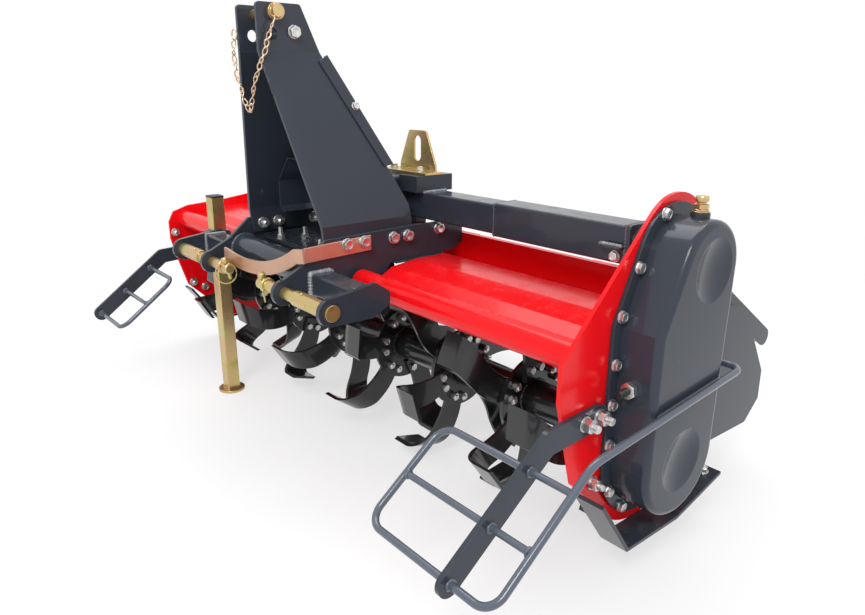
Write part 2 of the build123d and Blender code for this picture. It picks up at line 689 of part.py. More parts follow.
# Upper link pin with its head on the right
with BuildPart() as top_pin:
    with BuildSketch(Plane.YZ.offset(-TOP_GAP - MAST_T - 16)):
        with Locations(TOP_PIN):
            Circle(TOP_PIN_R)
    extrude(amount=2 * (TOP_GAP + MAST_T) + 16)
    with BuildSketch(Plane.YZ.offset(TOP_GAP + MAST_T)):
        with Locations(TOP_PIN):
            Circle(TOP_PIN_R + 6)
    extrude(amount=10)
    with BuildSketch(Plane.YZ.offset(TOP_GAP + MAST_T + 10)):
        with Locations(TOP_PIN):
            Circle(TOP_PIN_R + 1)
    extrude(amount=14)
keep(top_pin, "upper_link_pin")

with BuildPart() as mast_spacer:
    with BuildSketch(Plane.YZ.offset(-TOP_GAP)):
        with Locations(SPACER):
            Circle(SPACER_R)
    extrude(amount=2 * TOP_GAP)
keep(mast_spacer, "mast_spacer")

# Rest for the drive shaft: a flat bar bolted on the right hitch plate, bent across the front
REST_T = 6.0
REST_W = 34.0
REST_BEND_Y = -352.0
REST_TURN = 4.5            # degrees that the crescent leans forward of square
with BuildPart() as shaft_rest:
    with BuildSketch(Plane.YZ.offset(HITCH_X + BAR_T)):
        Polygon((REST_BEND_Y, 575), (REST_BEND_Y, 540), (-168, 546), (-168, 582), align=None)
    extrude(amount=REST_T)
    corner = Vector(HITCH_X + BAR_T + REST_T, REST_BEND_Y, 0)
    across = Vector(-1, 0, 0).rotate(Axis.Z, REST_TURN)
    with BuildSketch(Plane(origin=corner, x_dir=across, z_dir=across.cross(Vector(0, 0, 1)))):
        with BuildLine():
            run = Line((0, 557), (33, 552))
            dip = ThreePointArc(run @ 1, (165, 501), (335, 503))
            Line(dip @ 1, (358, 506))
        trace(line_width=REST_W)
    extrude(amount=-REST_T)
keep(shaft_rest, "shaft_rest")

# Slotted adjuster bracket on its block above the beam
BLOCK_TOP = 704.0
BLOCK = (74.0, 120.0)
with BuildPart() as bracket_block:
    with BuildSketch(Plane.XY.offset(DRIVE_Z + BEAM_HALF - BEAM_STEP)):
        with Locations((GEARBOX_HALF + BLOCK[0] / 2, BEAM_Y)):
            Rectangle(*BLOCK)
    extrude(amount=BLOCK_TOP - DRIVE_Z - BEAM_HALF + BEAM_STEP)
keep(bracket_block, "bracket_block")

BRACKET = (72.0, 90.0)      # middle and rear face of the upright
BRACKET_T = 6.0
BRACKET_HIGH = 108.0
with BuildPart() as bracket:
    with BuildSketch(Plane.XZ.offset(-BRACKET[1])) as upright:
        Polygon(
            (BRACKET[0] - 76, BLOCK_TOP), (BRACKET[0] + 76, BLOCK_TOP), (BRACKET[0] + 73, BLOCK_TOP + 22),
            (BRACKET[0] + 35, BLOCK_TOP + BRACKET_HIGH), (BRACKET[0] - 35, BLOCK_TOP + BRACKET_HIGH),
            (BRACKET[0] - 73, BLOCK_TOP + 22), align=None,
        )
        fillet(upright.vertices().group_by(Axis.Y)[-1], 8)
        slot_at((BRACKET[0], BLOCK_TOP + 42), (BRACKET[0], BLOCK_TOP + 80), 14, mode=Mode.SUBTRACT)
    extrude(amount=BRACKET_T)
    with BuildSketch(Plane.XY.offset(BLOCK_TOP)):
        with Locations((BRACKET[0], BRACKET[1] - 29)):
            Rectangle(196, 58)
    extrude(amount=BRACKET_T)
keep(bracket, "adjuster_bracket")

# Skids below the side plates
for side, label in ((1, "right"), (-1, "left")):
    start = PLATE_X if side > 0 else -PLATE_X - SKID_WIDTH
    with BuildPart() as skid:
        with BuildSketch(Plane.YZ.offset(start)):
            Polygon(*sheet(SKID_PATH[::-1], SKID_T), align=None)
        extrude(amount=SKID_WIDTH)
    keep(skid, f"skid_{label}")

# Guard arms and their rod frames
for side, label in ((1, "right"), (-1, "left")):
    start = PLATE_X if side > 0 else -PLATE_X - ARM_T
    rungs = [along(ARM_BEND, 180 + ARM_SLOPE, d) for d in RUNGS]
    with BuildPart() as guard_arm:
        with BuildSketch(Plane.YZ.offset(start)):
            slot_at(ARM_REAR, ARM_BEND, ARM_HALF)
            slot_at(ARM_BEND, rungs[-1], ARM_HALF)
            for rung in rungs:
                with Locations(rung):
                    Circle(ROD_R + FIT_GAP, mode=Mode.SUBTRACT)
        extrude(amount=ARM_T)
    keep(guard_arm, f"guard_arm_{label}")

    outer = side * (GUARD_OUTER_X if side > 0 else GUARD_LEFT_OUTER_X)
    inner = side * GUARD_INNER_X
    middle = along(ARM_BEND, 180 + ARM_SLOPE, (RUNGS[0] + RUNGS[2]) / 2)
    lower_half = [
        (outer, *middle), (outer, *rungs[2]), (inner, *rungs[2]), (inner, *middle),
    ]
    upper_half = [
        (outer, *middle), (outer, *rungs[0]), (inner, *rungs[0]), (inner, *middle),
    ]
    bends = [[GUARD_CORNER_R] * 2, [GUARD_CORNER_R] * 2]
    if side > 0:
        lower_half = [(INNER_X, *GUARD_REAR), (outer, *GUARD_REAR), (outer, *ARM_BEND), *lower_half[1:]]
        upper_half[:2] = [(RUNG_START_X, *rungs[0])]
        bends = [[25, 60] + bends[0], bends[1][:1]]
    with BuildPart() as guard_frame:
        for route, radii in zip((lower_half, upper_half), bends):
            with BuildLine() as wire:
                FilletPolyline(*route, radius=radii)
            path = wire.wires()[0]
            with BuildSketch(Plane(origin=path @ 0, z_dir=path % 0)):
                Circle(ROD_R)
            sweep(path=path)
        with BuildSketch(Plane.YZ.offset(inner)):
            with Locations(rungs[1]):
                Circle(RUNG_R)
        extrude(amount=outer - inner)
        if side > 0:
            with BuildSketch(Plane.YZ.offset(RUNG_START_X)):
                with Locations(rungs[0]):
                    Circle(RUNG_R)
            extrude(amount=outer - RUNG_START_X)
    keep(guard_frame, f"guard_frame_{label}")

# Parking leg in its socket on the left ear
with BuildPart() as leg_socket:
    with BuildSketch(Plane.XY.offset(SOCKET_Z[0])):
        hole = LEG_HALF + LEG_GAP
        with Locations((LEG_X, LEG_Y)):
            Rectangle(2 * (hole + SOCKET_WALL), 2 * (hole + SOCKET_WALL))
            Rectangle(2 * hole, 2 * hole, mode=Mode.SUBTRACT)
    extrude(amount=SOCKET_Z[1] - SOCKET_Z[0])
keep(leg_socket, "leg_socket")

with BuildPart() as parking_leg:
    with BuildSketch():
        with Locations((LEG_X, LEG_Y)):
            Circle(FOOT_R)
    extrude(amount=FOOT_T)
    with BuildSketch(Plane.XY.offset(FOOT_T)):
        with Locations((LEG_X, LEG_Y)):
            RectangleRounded(2 * LEG_HALF, 2 * LEG_HALF, 4)
            Rectangle(2 * (LEG_HALF - LEG_WALL), 2 * (LEG_HALF - LEG_WALL), mode=Mode.SUBTRACT)
    extrude(amount=LEG_TOP - FOOT_T)
    with BuildSketch(Plane.XY.offset(LEG_TOP)):
        with Locations((LEG_X, LEG_Y)):
            RectangleRounded(2 * LEG_HALF, 2 * LEG_HALF, 4)
    extrude(amount=4)
keep(parking_leg, "parking_leg")

# Tailboard: sheet, knuckles and an end strap each side
with BuildPart() as tailboard:
    with BuildSketch(Plane.YZ.offset(-BOARD_X + STRAP_T)):
        with Locations(Location((HINGE[0], HINGE[1], 0), (0, 0, -BOARD_SLOPE))):
            with Locations(((BOARD_START + BOARD_LENGTH) / 2, -BOARD_DROP)):
                Rectangle(BOARD_LENGTH - BOARD_START, BOARD_T)
    extrude(amount=2 * (BOARD_X - STRAP_T))
    for x in HINGE_XS:
        with BuildSketch(Plane.YZ.offset(x - KNUCKLE / 2)):
            with Locations(Location((HINGE[0], HINGE[1], 0), (0, 0, -BOARD_SLOPE))):
                Circle(HINGE_R)
                Polygon((0, -14), (BOARD_START + 6, -14.5), (BOARD_START + 6, -9.5), (8, -6), align=None)
                Circle(HINGE_PIN_R + HINGE_BORE_GAP, mode=Mode.SUBTRACT)
        extrude(amount=KNUCKLE)
keep(tailboard, "tailboard")

for side, label in ((1, "right"), (-1, "left")):
    start = BOARD_X - STRAP_T if side > 0 else -BOARD_X
    with BuildPart() as strap:
        with BuildSketch(Plane.YZ.offset(start)):
            slot_at(HINGE, along(HINGE, -BOARD_SLOPE, BOARD_LENGTH - 20), STRAP_R)
        extrude(amount=STRAP_T)
    keep(strap, f"tailboard_strap_{label}")

with BuildPart() as hinge_pins:
    for x in HINGE_XS:
        reach = 1.5 * KNUCKLE + KNUCKLE_GAP
        with BuildSketch(Plane.YZ.offset(x - reach)):
            with Locations(HINGE):
                Circle(HINGE_PIN_R)
        extrude(amount=2 * reach)
keep(hinge_pins, "hinge_pins")

# The finished origin is on the floor below the middle of the whole machine
boxes = [piece.bounding_box() for piece in finished]
middle_x = (min(box.min.X for box in boxes) + max(box.max.X for box in boxes)) / 2
middle_y = (min(box.min.Y for box in boxes) + max(box.max.Y for box in boxes)) / 2
floor_z = min(box.min.Z for box in boxes)
print("origin moved to", middle_x, middle_y, floor_z)
for piece in finished:
    placed = piece.moved(Location((-middle_x, -middle_y, -floor_z)))
    placed.label = piece.label
    export_step(placed, f"parts/{piece.label}.step")
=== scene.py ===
"""Dresses the rotary tiller's solids: enamels, platings, bolts, welds, pins, chain and studio."""
import json
import math
from collections import namedtuple

import bpy
from mathutils import Matrix, Vector


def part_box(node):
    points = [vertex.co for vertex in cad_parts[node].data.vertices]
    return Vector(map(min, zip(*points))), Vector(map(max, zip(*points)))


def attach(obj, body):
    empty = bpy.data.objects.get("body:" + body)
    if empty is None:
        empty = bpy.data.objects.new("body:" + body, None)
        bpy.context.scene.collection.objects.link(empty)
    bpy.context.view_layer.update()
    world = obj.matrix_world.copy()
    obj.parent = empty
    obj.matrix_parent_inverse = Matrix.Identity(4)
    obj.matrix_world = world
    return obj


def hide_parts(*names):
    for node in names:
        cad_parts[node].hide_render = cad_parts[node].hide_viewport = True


bl_info = {
    "name": "Rotary tiller dressing",
    "version": (1, 0, 0),
    "blender": (4, 5, 0),
    "location": "View3D > Sidebar > Tiller",
    "description": "Finishes, fasteners, welds and studio for a rotary tiller",
    "category": "Object",
}

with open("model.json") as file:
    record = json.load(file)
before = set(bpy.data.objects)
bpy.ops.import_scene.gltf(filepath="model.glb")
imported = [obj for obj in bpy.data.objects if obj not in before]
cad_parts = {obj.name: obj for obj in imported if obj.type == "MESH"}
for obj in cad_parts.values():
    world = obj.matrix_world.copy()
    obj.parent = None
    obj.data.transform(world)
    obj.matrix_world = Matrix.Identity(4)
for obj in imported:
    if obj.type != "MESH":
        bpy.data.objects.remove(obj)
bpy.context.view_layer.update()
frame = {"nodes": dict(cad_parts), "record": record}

# Sizes of the solids, in the machine's own millimetres: X 0 in its middle, Y 0 on the rotor's
# axis, Z 0 on the floor. A pair stands for (y, z), and angles in tables are in degrees.
MM = 0.001
PLATE_X = 880.0                 # outer face of the side plates
PLATE_T = 8.0
ROTOR_Z = 245.0
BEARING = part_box("rotor_bearing_right")
ORIGIN = Vector((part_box("side_plate_right")[1].x / MM - PLATE_X,
                 (BEARING[0].y + BEARING[1].y) / 2 / MM, 0.0))

# Rotor
FLANGES = 8
FLANGE_PITCH = 235.0
FLANGE_HALF = 5.0
ROTOR_TUBE_R = 42.0
TINE_T = 8.0
TINE_SPOTS = 6                  # places for tines round a flange
HELIX_STEP = 21.0               # turn from one flange to the next

# Chain case and bearings
CASE_FLANGE_T = 8.0
BEARING_T = 8.0
BEARING_CAP_T = 10.0

# Hitch and mast
HITCH_INNER = 187.0             # faces of the long hitch plates
HITCH_OUTER = 199.0
SHANK_T = 6.0                   # shank of the shaft rest on the right hitch plate
EAR_INNER = 380.0
EAR_OUTER = 392.0
MAST_INNER = 177.0              # inner face of the mast's feet
MAST_TOP_OUTER = 52.0           # outer face of the mast's top
CROSS_TUBE = (-310.0, 505.0)
CROSS_TUBE_R = 36.0
EAR_STUB = (-310.0, 488.0)
LINK_PIN = (-404.0, 480.0)
TIE_PLATE_Z = 534.0

# Beam, leg socket and guards
BEAM = (64.0, 627.0)
BEAM_HALF = 39.0
SLEEVE_X = 424.0                # where the beam's sleeve begins
BEAM_END_X = 786.0
LEG_Y = -284.0
SOCKET_HALF = 26.0
GUARD_BEND = (-297.0, 352.0)
GUARD_SLOPE = 180 + 36.5
GUARD_ARM_T = 10.0
GUARD_INNER_X = 672.0
GUARD_OUTER_X = {1: 978.0, -1: 930.0}
GUARD_RODS = ((58.0, 7.0), (170.0, 6.5), (277.0, 7.0))  # (distance below the bend, radius)
MIDDLE_ROD = 1                  # the one that ends on the rods beside it


def flange_x(index):
    """Middle of a rotor flange."""
    return (index - (FLANGES - 1) / 2) * FLANGE_PITCH


def polar(centre, radius, degrees):
    """Point (x, y) at an angle round a centre."""
    angle = math.radians(degrees)
    return centre[0] + radius * math.cos(angle), centre[1] + radius * math.sin(angle)


def arc(centre, radius, start, end, steps):
    """Points (x, y) on an arc between two angles."""
    return [polar(centre, radius, start + (end - start) * i / steps) for i in range(steps + 1)]


def spokes(steps):
    """Directions (cos, sin) at even steps round a circle."""
    return [(math.cos(math.tau * j / steps), math.sin(math.tau * j / steps)) for j in range(steps)]


def place(point):
    """A point given in the machine's millimetres, in metres of the row frame."""
    return (Vector(point) + ORIGIN) * MM


def solid_box(node):
    """Lowest and highest corner of a solid, in the machine's millimetres."""
    return [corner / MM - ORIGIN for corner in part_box(node)]


def aim(point, direction, roll=0.0):
    """Matrix in millimetres that puts local +Z along direction at point."""
    turn = Vector(direction).normalized().to_track_quat("Z", "Y").to_matrix().to_4x4()
    return Matrix.Translation(Vector(point)) @ turn @ Matrix.Rotation(math.radians(roll), 4, "Z")


def lifted(matrix, height):
    """The matrix moved along its own Z."""
    return matrix @ Matrix.Translation((0, 0, height))


# Finishes by name, filled by mix_finishes
FINISHES = {}
CUT_ANGLE = math.radians(40)    # sharper edges of a cut plate are softened


class Mould:
    """Collects the faces of many small pieces in millimetres and casts them as one mesh."""

    def __init__(self):
        self.points = []
        self.faces = []

    def add(self, points, faces, matrix=None):
        """Adds faces over their own points, turned outwards again where the matrix mirrors."""
        start = len(self.points)
        matrix = matrix or Matrix.Identity(4)
        self.points += [matrix @ Vector(p) for p in points]
        flip = matrix.determinant() < 0
        self.faces += [tuple(start + i for i in (reversed(f) if flip else f)) for f in faces]

    def rings(self, rings, matrix=None, closed=False):
        """Skin over rings that all have the same number of points; open ends get a cap."""
        count = len(rings[0])
        faces = []
        for i in range(len(rings) if closed else len(rings) - 1):
            a, b = i * count, (i + 1) % len(rings) * count
            for j in range(count):
                k = (j + 1) % count
                faces.append((a + j, a + k, b + k, b + j))
        if not closed:
            faces.append(tuple(range(count - 1, -1, -1)))
            faces.append(tuple(range((len(rings) - 1) * count, len(rings) * count)))
        self.add([p for ring in rings for p in ring], faces, matrix)

    def lathe(self, profile, matrix=None, steps=24):
        """Turned piece: profile is (radius, height) from the bottom up."""
        circle = spokes(steps)
        self.rings([[(radius * c, radius * s, height) for c, s in circle]
                    for radius, height in profile], matrix)

    def tube(self, path, radius, steps=10, closed=False, ripple=None):
        """Round bar along a path of points; ripple gives the radius at each point."""
        path = [Vector(p) for p in path]
        count = len(path)
        circle = spokes(steps)
        rings = []
        side = None
        for i, point in enumerate(path):
            ahead = path[(i + 1) % count] if closed or i < count - 1 else point
            behind = path[i - 1] if closed or i > 0 else point
            heading = (ahead - behind).normalized()
            if side is None:
                side = heading.orthogonal().normalized()
            side = (side - heading * side.dot(heading)).normalized()
            other = heading.cross(side)
            size = ripple(i) if ripple else radius
            rings.append([point + size * (c * side + s * other) for c, s in circle])
        self.rings(rings, closed=closed)

    def prism(self, outline, depth, matrix=None):
        """Plate cut to an outline of (x, y), with its thickness along local Z."""
        self.rings([[(x, y, z) for x, y in outline] for z in (0, depth)], matrix)

    def cast(self, name, finish, body, slot, angle=35.0, soften=0.0):
        """The finished object, riding on its body."""
        mesh = bpy.data.meshes.new(name)
        mesh.from_pydata([place(p) for p in self.points], [], self.faces)
        mesh.validate()
        mesh.polygons.foreach_set("use_smooth", [True] * len(mesh.polygons))
        mesh.set_sharp_from_angle(angle=math.radians(angle))
        mesh.materials.append(FINISHES[finish])
        piece = bpy.data.objects.new(name, mesh)
        bpy.context.scene.collection.objects.link(piece)
        if soften:
            bevel = piece.modifiers.new("soft edges", "BEVEL")
            bevel.width = soften * MM
            bevel.segments = 2
            bevel.limit_method = "ANGLE"
            bevel.angle_limit = CUT_ANGLE
        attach(piece, body)
        return piece


# Fasteners

Head = namedtuple("Head", "flats height washer_radius washer_t")
HEADS = {   # by the thread's diameter
    10: Head(16.0, 6.4, 10.0, 2.0),
    12: Head(18.0, 7.5, 12.0, 2.5),
    14: Head(21.0, 8.8, 14.0, 2.5),
    16: Head(24.0, 10.0, 15.0, 3.0),
}
HEX_STEPS = 36
HEX_CHAMFER = math.tan(math.radians(30))
CROWN_SHARE = 0.95              # round face of a hexagon against its width across flats
HEAD_DISH = 0.6
NUT_SHARE = 1.25                # height of a nut against a head
LOCK_HEIGHT = 3.0
THREAD_PITCH = 2.0
WASHER_EDGE = 0.4


def hexagon_radius(angle, flats):
    """Reach of a hexagon's side in the direction of angle."""
    return flats / 2 / math.cos((angle + math.pi / 6) % (math.pi / 3) - math.pi / 6)


def hex_rings(flats, height, both=False, dish=0.0):
    """Rings of a hexagon with chamfered corners, at both ends of a nut, or with a head's dish."""
    crown = flats / 2 * CROWN_SHARE
    circle = spokes(HEX_STEPS)
    reaches = [hexagon_radius(math.tau * j / HEX_STEPS, flats) for j in range(HEX_STEPS)]
    drops = [max(0.0, reach - crown) * HEX_CHAMFER for reach in reaches]

    def hexagon(levels):
        return [(reach * c, reach * s, z) for reach, (c, s), z in zip(reaches, circle, levels)]

    def ring(share, level):
        return [(crown * share * c, crown * share * s, level) for c, s in circle]

    rings = [ring(1, 0.0)] if both else []
    rings += [hexagon(drops if both else [0.0] * HEX_STEPS),
              hexagon([height - drop for drop in drops]), ring(1, height)]
    return rings + [ring(0.72, height), ring(0.64, height - dish)] if dish else rings


def thread(radius, length):
    """Profile of a threaded end with a chamfered tip."""
    profile = [(radius, 0.0)]
    for i in range(int(length / THREAD_PITCH)):
        profile += [(radius * share, (i + turn) * THREAD_PITCH)
                    for share, turn in ((1, 0.3), (0.88, 0.65), (1, 1))]
    profile.append((radius * 0.8, profile[-1][1] + 1.2))
    return profile


def washer(mould, matrix, size):
    """Flat washer; gives the matrix of its upper face."""
    inner, outer, thick = size / 2, HEADS[size].washer_radius, HEADS[size].washer_t
    mould.lathe([(inner, 0), (outer - WASHER_EDGE, 0), (outer, WASHER_EDGE),
                 (outer, thick - WASHER_EDGE), (outer - WASHER_EDGE, thick), (inner, thick)],
                matrix)
    return lifted(matrix, thick)


def split_ring(mould, matrix, size):
    """Spring washer, a square ring with a slanted gap; gives the matrix of its upper face."""
    inner = size / 2
    outer, thick, steps = inner * 1.55, inner * 0.45, 20
    section = ((inner, 0), (outer, 0), (outer, thick), (inner, thick))
    rings = []
    for i, (c, s) in enumerate(arc((0, 0), 1, 8, 352, steps)):
        lift = 0.1 * inner * (i / steps - 0.5)
        rings.append([(radius * c, radius * s, level + lift) for radius, level in section])
    mould.rings(rings, lifted(matrix, 0.05 * inner))
    return lifted(matrix, thick)


def seat(mould, point, direction, size, roll, flat, spring=False):
    """Washers under a head or nut; gives the matrix of their upper face."""
    matrix = aim(point, direction, roll)
    if flat:
        matrix = washer(mould, matrix, size)
    if spring:
        matrix = split_ring(mould, matrix, size)
    return matrix


def bolt(mould, point, direction, size, roll=0.0, flat=True):
    """Hex head on its washer."""
    matrix = seat(mould, point, direction, size, roll, flat)
    mould.rings(hex_rings(HEADS[size].flats, HEADS[size].height, dish=HEAD_DISH), matrix)


def nut(mould, point, direction, size, stud, roll=0.0, flat=True, lock=False, spring=False):
    """Hex nut on its washers, with a lock nut's collar, and the bolt's end standing out."""
    matrix = seat(mould, point, direction, size, roll, flat, spring)
    flats, radius, height = HEADS[size].flats, size / 2, HEADS[size].height * NUT_SHARE
    mould.rings(hex_rings(flats, height, both=True), matrix)
    if lock:
        mould.lathe([(flats * 0.44, height - 0.2), (flats * 0.42, height + 2.0),
                     (flats * 0.36, height + LOCK_HEIGHT), (radius, height + LOCK_HEIGHT)], matrix)
        height += LOCK_HEIGHT
    mould.lathe(thread(radius, stud), lifted(matrix, height - 0.5))


# Materials

class Flow:
    """A shader socket that takes part in Python expressions."""

    def __init__(self, recipe, socket):
        self.recipe = recipe
        self.socket = socket

    def __add__(self, other):
        return self.recipe.maths("ADD", self, other)

    def __sub__(self, other):
        return self.recipe.maths("SUBTRACT", self, other)

    def __rsub__(self, other):
        return self.recipe.maths("SUBTRACT", other, self)

    def __mul__(self, other):
        return self.recipe.maths("MULTIPLY", self, other)

    __radd__ = __add__
    __rmul__ = __mul__

    def ramp(self, low, high, first=0.0, last=1.0):
        """First below low, last above high, smooth between."""
        return self.recipe.node("ShaderNodeMapRange", {"interpolation_type": "SMOOTHSTEP"}, {
            "Value": self, "From Min": low, "From Max": high, "To Min": first, "To Max": last})


class Recipe:
    """Puts nodes into one node tree."""

    def __init__(self, tree):
        self.tree = tree

    def link(self, value, socket):
        """Feeds a socket with a flow, or sets it to a plain value."""
        if isinstance(value, Flow):
            self.tree.links.new(value.socket, socket)
        else:
            socket.default_value = value

    def node(self, kind, settings=None, values=None, out=0):
        """Flow out of a new node, after its settings and then its sockets are set."""
        made = self.tree.nodes.new(kind)
        for key, value in (settings or {}).items():
            if key == "stops":
                stops = made.color_ramp.elements
                while len(stops) > 1:
                    stops.remove(stops[-1])
                for i, (position, colour) in enumerate(value):
                    stop = stops[0] if i == 0 else stops.new(position)
                    stop.position, stop.color = position, (*colour, 1)
            else:
                setattr(made, key, value)
        for key, value in (values or {}).items():
            self.link(value, made.inputs[key])
        return Flow(self, made.outputs[out])

    def maths(self, operation, *values):
        """Flow out of a Math node on these values."""
        return self.node("ShaderNodeMath", {"operation": operation}, dict(enumerate(values)))

    def shown(self):
        """1 on rays that show the background, 0 on rays that only carry light."""
        flow = self.node("ShaderNodeLightPath", out="Is Camera Ray")
        for ray in ("Is Glossy Ray", "Is Transmission Ray"):
            flow = self.maths("MAXIMUM", flow, self.node("ShaderNodeLightPath", out=ray))
        return flow


class Finish(Recipe):
    """One material and the nodes that make it."""

    def __init__(self, name):
        self.material = bpy.data.materials.new(name)
        self.material.use_nodes = True
        super().__init__(self.material.node_tree)
        self.shader = self.tree.nodes["Principled BSDF"]
        self.spot = self.node("ShaderNodeTexCoord", out="Object")

    def noise(self, scale, detail=2.0, stretch=None, roughness=0.5):
        """Cloudy pattern from 0 to 1, drawn out where stretch is below 1."""
        spot = self.spot
        if stretch:
            spot = self.node("ShaderNodeVectorMath", {"operation": "MULTIPLY"},
                             {0: spot, 1: stretch}, out="Vector")
        return self.node("ShaderNodeTexNoise", {}, {
            "Vector": spot, "Scale": scale, "Detail": detail, "Roughness": roughness}, out="Fac")

    def blend(self, factor, a, b):
        """Colour mix; a and b are colours as (r, g, b) or flows."""
        a, b = (colour if isinstance(colour, Flow) else (*colour, 1) for colour in (a, b))
        return self.node("ShaderNodeMix", {"data_type": "RGBA"}, {0: factor, 6: a, 7: b}, out=2)

    def upward(self):
        """How far the surface faces up."""
        normal = self.node("ShaderNodeNewGeometry", out="Normal")
        return self.node("ShaderNodeSeparateXYZ", {}, {0: normal}, out="Z")

    def bump(self, height, strength, distance):
        """Normal of a surface that is raised by height."""
        return self.node("ShaderNodeBump", {}, {
            "Height": height, "Strength": strength, "Distance": distance})

    def finish(self, **values):
        """The material, with these inputs of its shader; spaces are written as underscores."""
        for key, value in values.items():
            if key == "Base_Color" and not isinstance(value, Flow):
                value = (*value, 1)
            self.link(value, self.shader.inputs[key.replace("_", " ")])
        return self.material


def shade(colour, share):
    """The colour made darker."""
    return tuple(c * share for c in colour)


def enamel(name, colour, deep, rough, coat, peel=0.12, dust=0.05, dust_colour=(0.42, 0.40, 0.37),
           cast=0.0, shine=0.35):
    """Sprayed enamel: slow tone drift, orange peel, rubbed patches and a little dust on top."""
    r = Finish(name)
    drift = r.noise(2.3, 3.0)
    patches = r.noise(9.0, 4.0, roughness=0.6).ramp(0.45, 0.75)
    settle = r.upward().ramp(0.55, 1.0) * r.noise(26.0, 5.0, roughness=0.65).ramp(0.4, 0.8)
    scuffs = r.noise(60.0, 2.0, stretch=(0.15, 1, 1)).ramp(0.76, 0.82)
    tone = r.blend(drift, deep, colour)
    tone = r.blend(settle * dust, tone, dust_colour)
    tone = r.blend(scuffs * (dust * 1.5), tone, dust_colour)
    surface = r.noise(420.0, 1.0) * peel + r.noise(38.0, 2.0) * (peel * 0.8)
    if cast:
        surface = surface + r.noise(150.0, 5.0, roughness=0.7) * cast
    return r.finish(
        Base_Color=tone,
        Roughness=patches * 0.03 + settle * 0.18 + scuffs * 0.15 + rough,
        Specular_IOR_Level=shine,
        Coat_Weight=coat,
        Coat_Roughness=0.06,
        Normal=r.bump(surface, 0.12, 0.002),
    )


def plated(name, stops, rough, metal, scale=7.0, brushed=0.0):
    """Zinc plating with its drifting passivation colours, or bare steel."""
    r = Finish(name)
    drift = r.noise(scale, 3.0, roughness=0.55)
    fine = r.noise(scale * 9, 3.0)
    tone = drift * 0.8 + fine * 0.2
    grit = r.noise(310.0, 2.0)
    streaks = r.noise(240.0, 2.0, stretch=(1, 1, 0.05))
    return r.finish(
        Base_Color=r.node("ShaderNodeValToRGB", {"stops": stops}, {0: tone}, out="Color"),
        Metallic=metal,
        Roughness=fine * 0.16 + rough,
        Normal=r.bump(grit * 0.6 + streaks * brushed, 0.1, 0.0012),
    )


def weld_finish(name, colour, rough):
    """Painted weld: uneven tone and a little brown in patches."""
    r = Finish(name)
    spots = r.noise(70.0, 4.0, roughness=0.7)
    tone = r.blend(spots.ramp(0.35, 0.75), colour, tuple(c * 1.9 + 0.02 for c in colour))
    tone = r.blend(r.noise(35.0, 3.0).ramp(0.68, 0.8) * 0.5, tone, (0.16, 0.07, 0.035))
    return r.finish(
        Base_Color=tone,
        Roughness=spots * 0.2 + rough,
        Coat_Weight=0.5,
        Normal=r.bump(r.noise(190.0, 4.0), 0.3, 0.0015),
    )


def moulded_plastic(name, colour):
    """Black plastic with a fine grain."""
    r = Finish(name)
    return r.finish(
        Base_Color=colour,
        Roughness=r.noise(80.0, 3.0) * 0.15 + 0.4,
        Normal=r.bump(r.noise(500.0, 2.0), 0.15, 0.0008),
    )


def mix_finishes(paint):
    """Makes every finish from the colours in the panel."""
    red, dark, guard, rotor = (tuple(c) for c in (paint.red, paint.dark, paint.guard, paint.rotor))
    FINISHES.update(
        red_paint=enamel(
            "red enamel", red, (red[0] * 0.86, red[1] * 0.7, red[2] * 0.7), 0.2, 0.15,
            peel=0.05, dust=0.012, dust_colour=(0.8, 0.3, 0.28), shine=0.18),
        dark_paint=enamel(
            "anthracite enamel", dark, shade(dark, 0.8), 0.2, 0.28, peel=0.16, shine=0.16),
        dark_casting=enamel(
            "anthracite casting", dark, shade(dark, 0.75), 0.27, 0.2,
            peel=0.1, cast=0.7, shine=0.25),
        guard_paint=enamel("blue-grey enamel", guard, shade(guard, 0.8), 0.22, 0.6),
        rotor_paint=enamel(
            "black enamel", rotor, shade(rotor, 0.7), 0.28, 0.55,
            dust=0.06, dust_colour=(0.12, 0.125, 0.13)),
        yellow_zinc=plated("yellow zinc", [
            (0.25, (0.36, 0.29, 0.10)), (0.42, (0.58, 0.46, 0.18)), (0.52, (0.62, 0.41, 0.22)),
            (0.62, (0.54, 0.49, 0.20)), (0.78, (0.40, 0.43, 0.19)),
        ], 0.22, metal=0.88),
        pink_zinc=plated("pink passivated zinc", [
            (0.3, (0.52, 0.30, 0.20)), (0.5, (0.60, 0.38, 0.27)),
            (0.62, (0.55, 0.33, 0.26)), (0.75, (0.58, 0.42, 0.24)),
        ], 0.3, metal=0.75, scale=5.0),
        bright_zinc=plated("bright zinc", [
            (0.3, (0.50, 0.51, 0.52)), (0.55, (0.66, 0.66, 0.65)), (0.75, (0.58, 0.60, 0.63)),
        ], 0.24, metal=0.95, scale=30.0),
        shaft_steel=plated("machined steel", [
            (0.3, (0.40, 0.40, 0.41)), (0.7, (0.56, 0.56, 0.57)),
        ], 0.22, metal=1.0, scale=16.0, brushed=0.6),
        pale_zinc=plated("pale yellow zinc", [
            (0.3, (0.62, 0.42, 0.27)), (0.5, (0.70, 0.53, 0.38)), (0.7, (0.72, 0.48, 0.34)),
        ], 0.28, metal=0.8, scale=40.0),
        # painted highlight: the anthracite made lighter by 0.13 for the welds that stand in the
        # light
        bare_weld=weld_finish("highlit weld", tuple(0.13 + c for c in dark), 0.3),
        dark_weld=weld_finish("painted weld", dark, 0.35),
        guard_weld=weld_finish("guard weld", shade(guard, 0.62), 0.35),
        black_plastic=moulded_plastic("black plastic cap", (0.012, 0.012, 0.013)),
    )


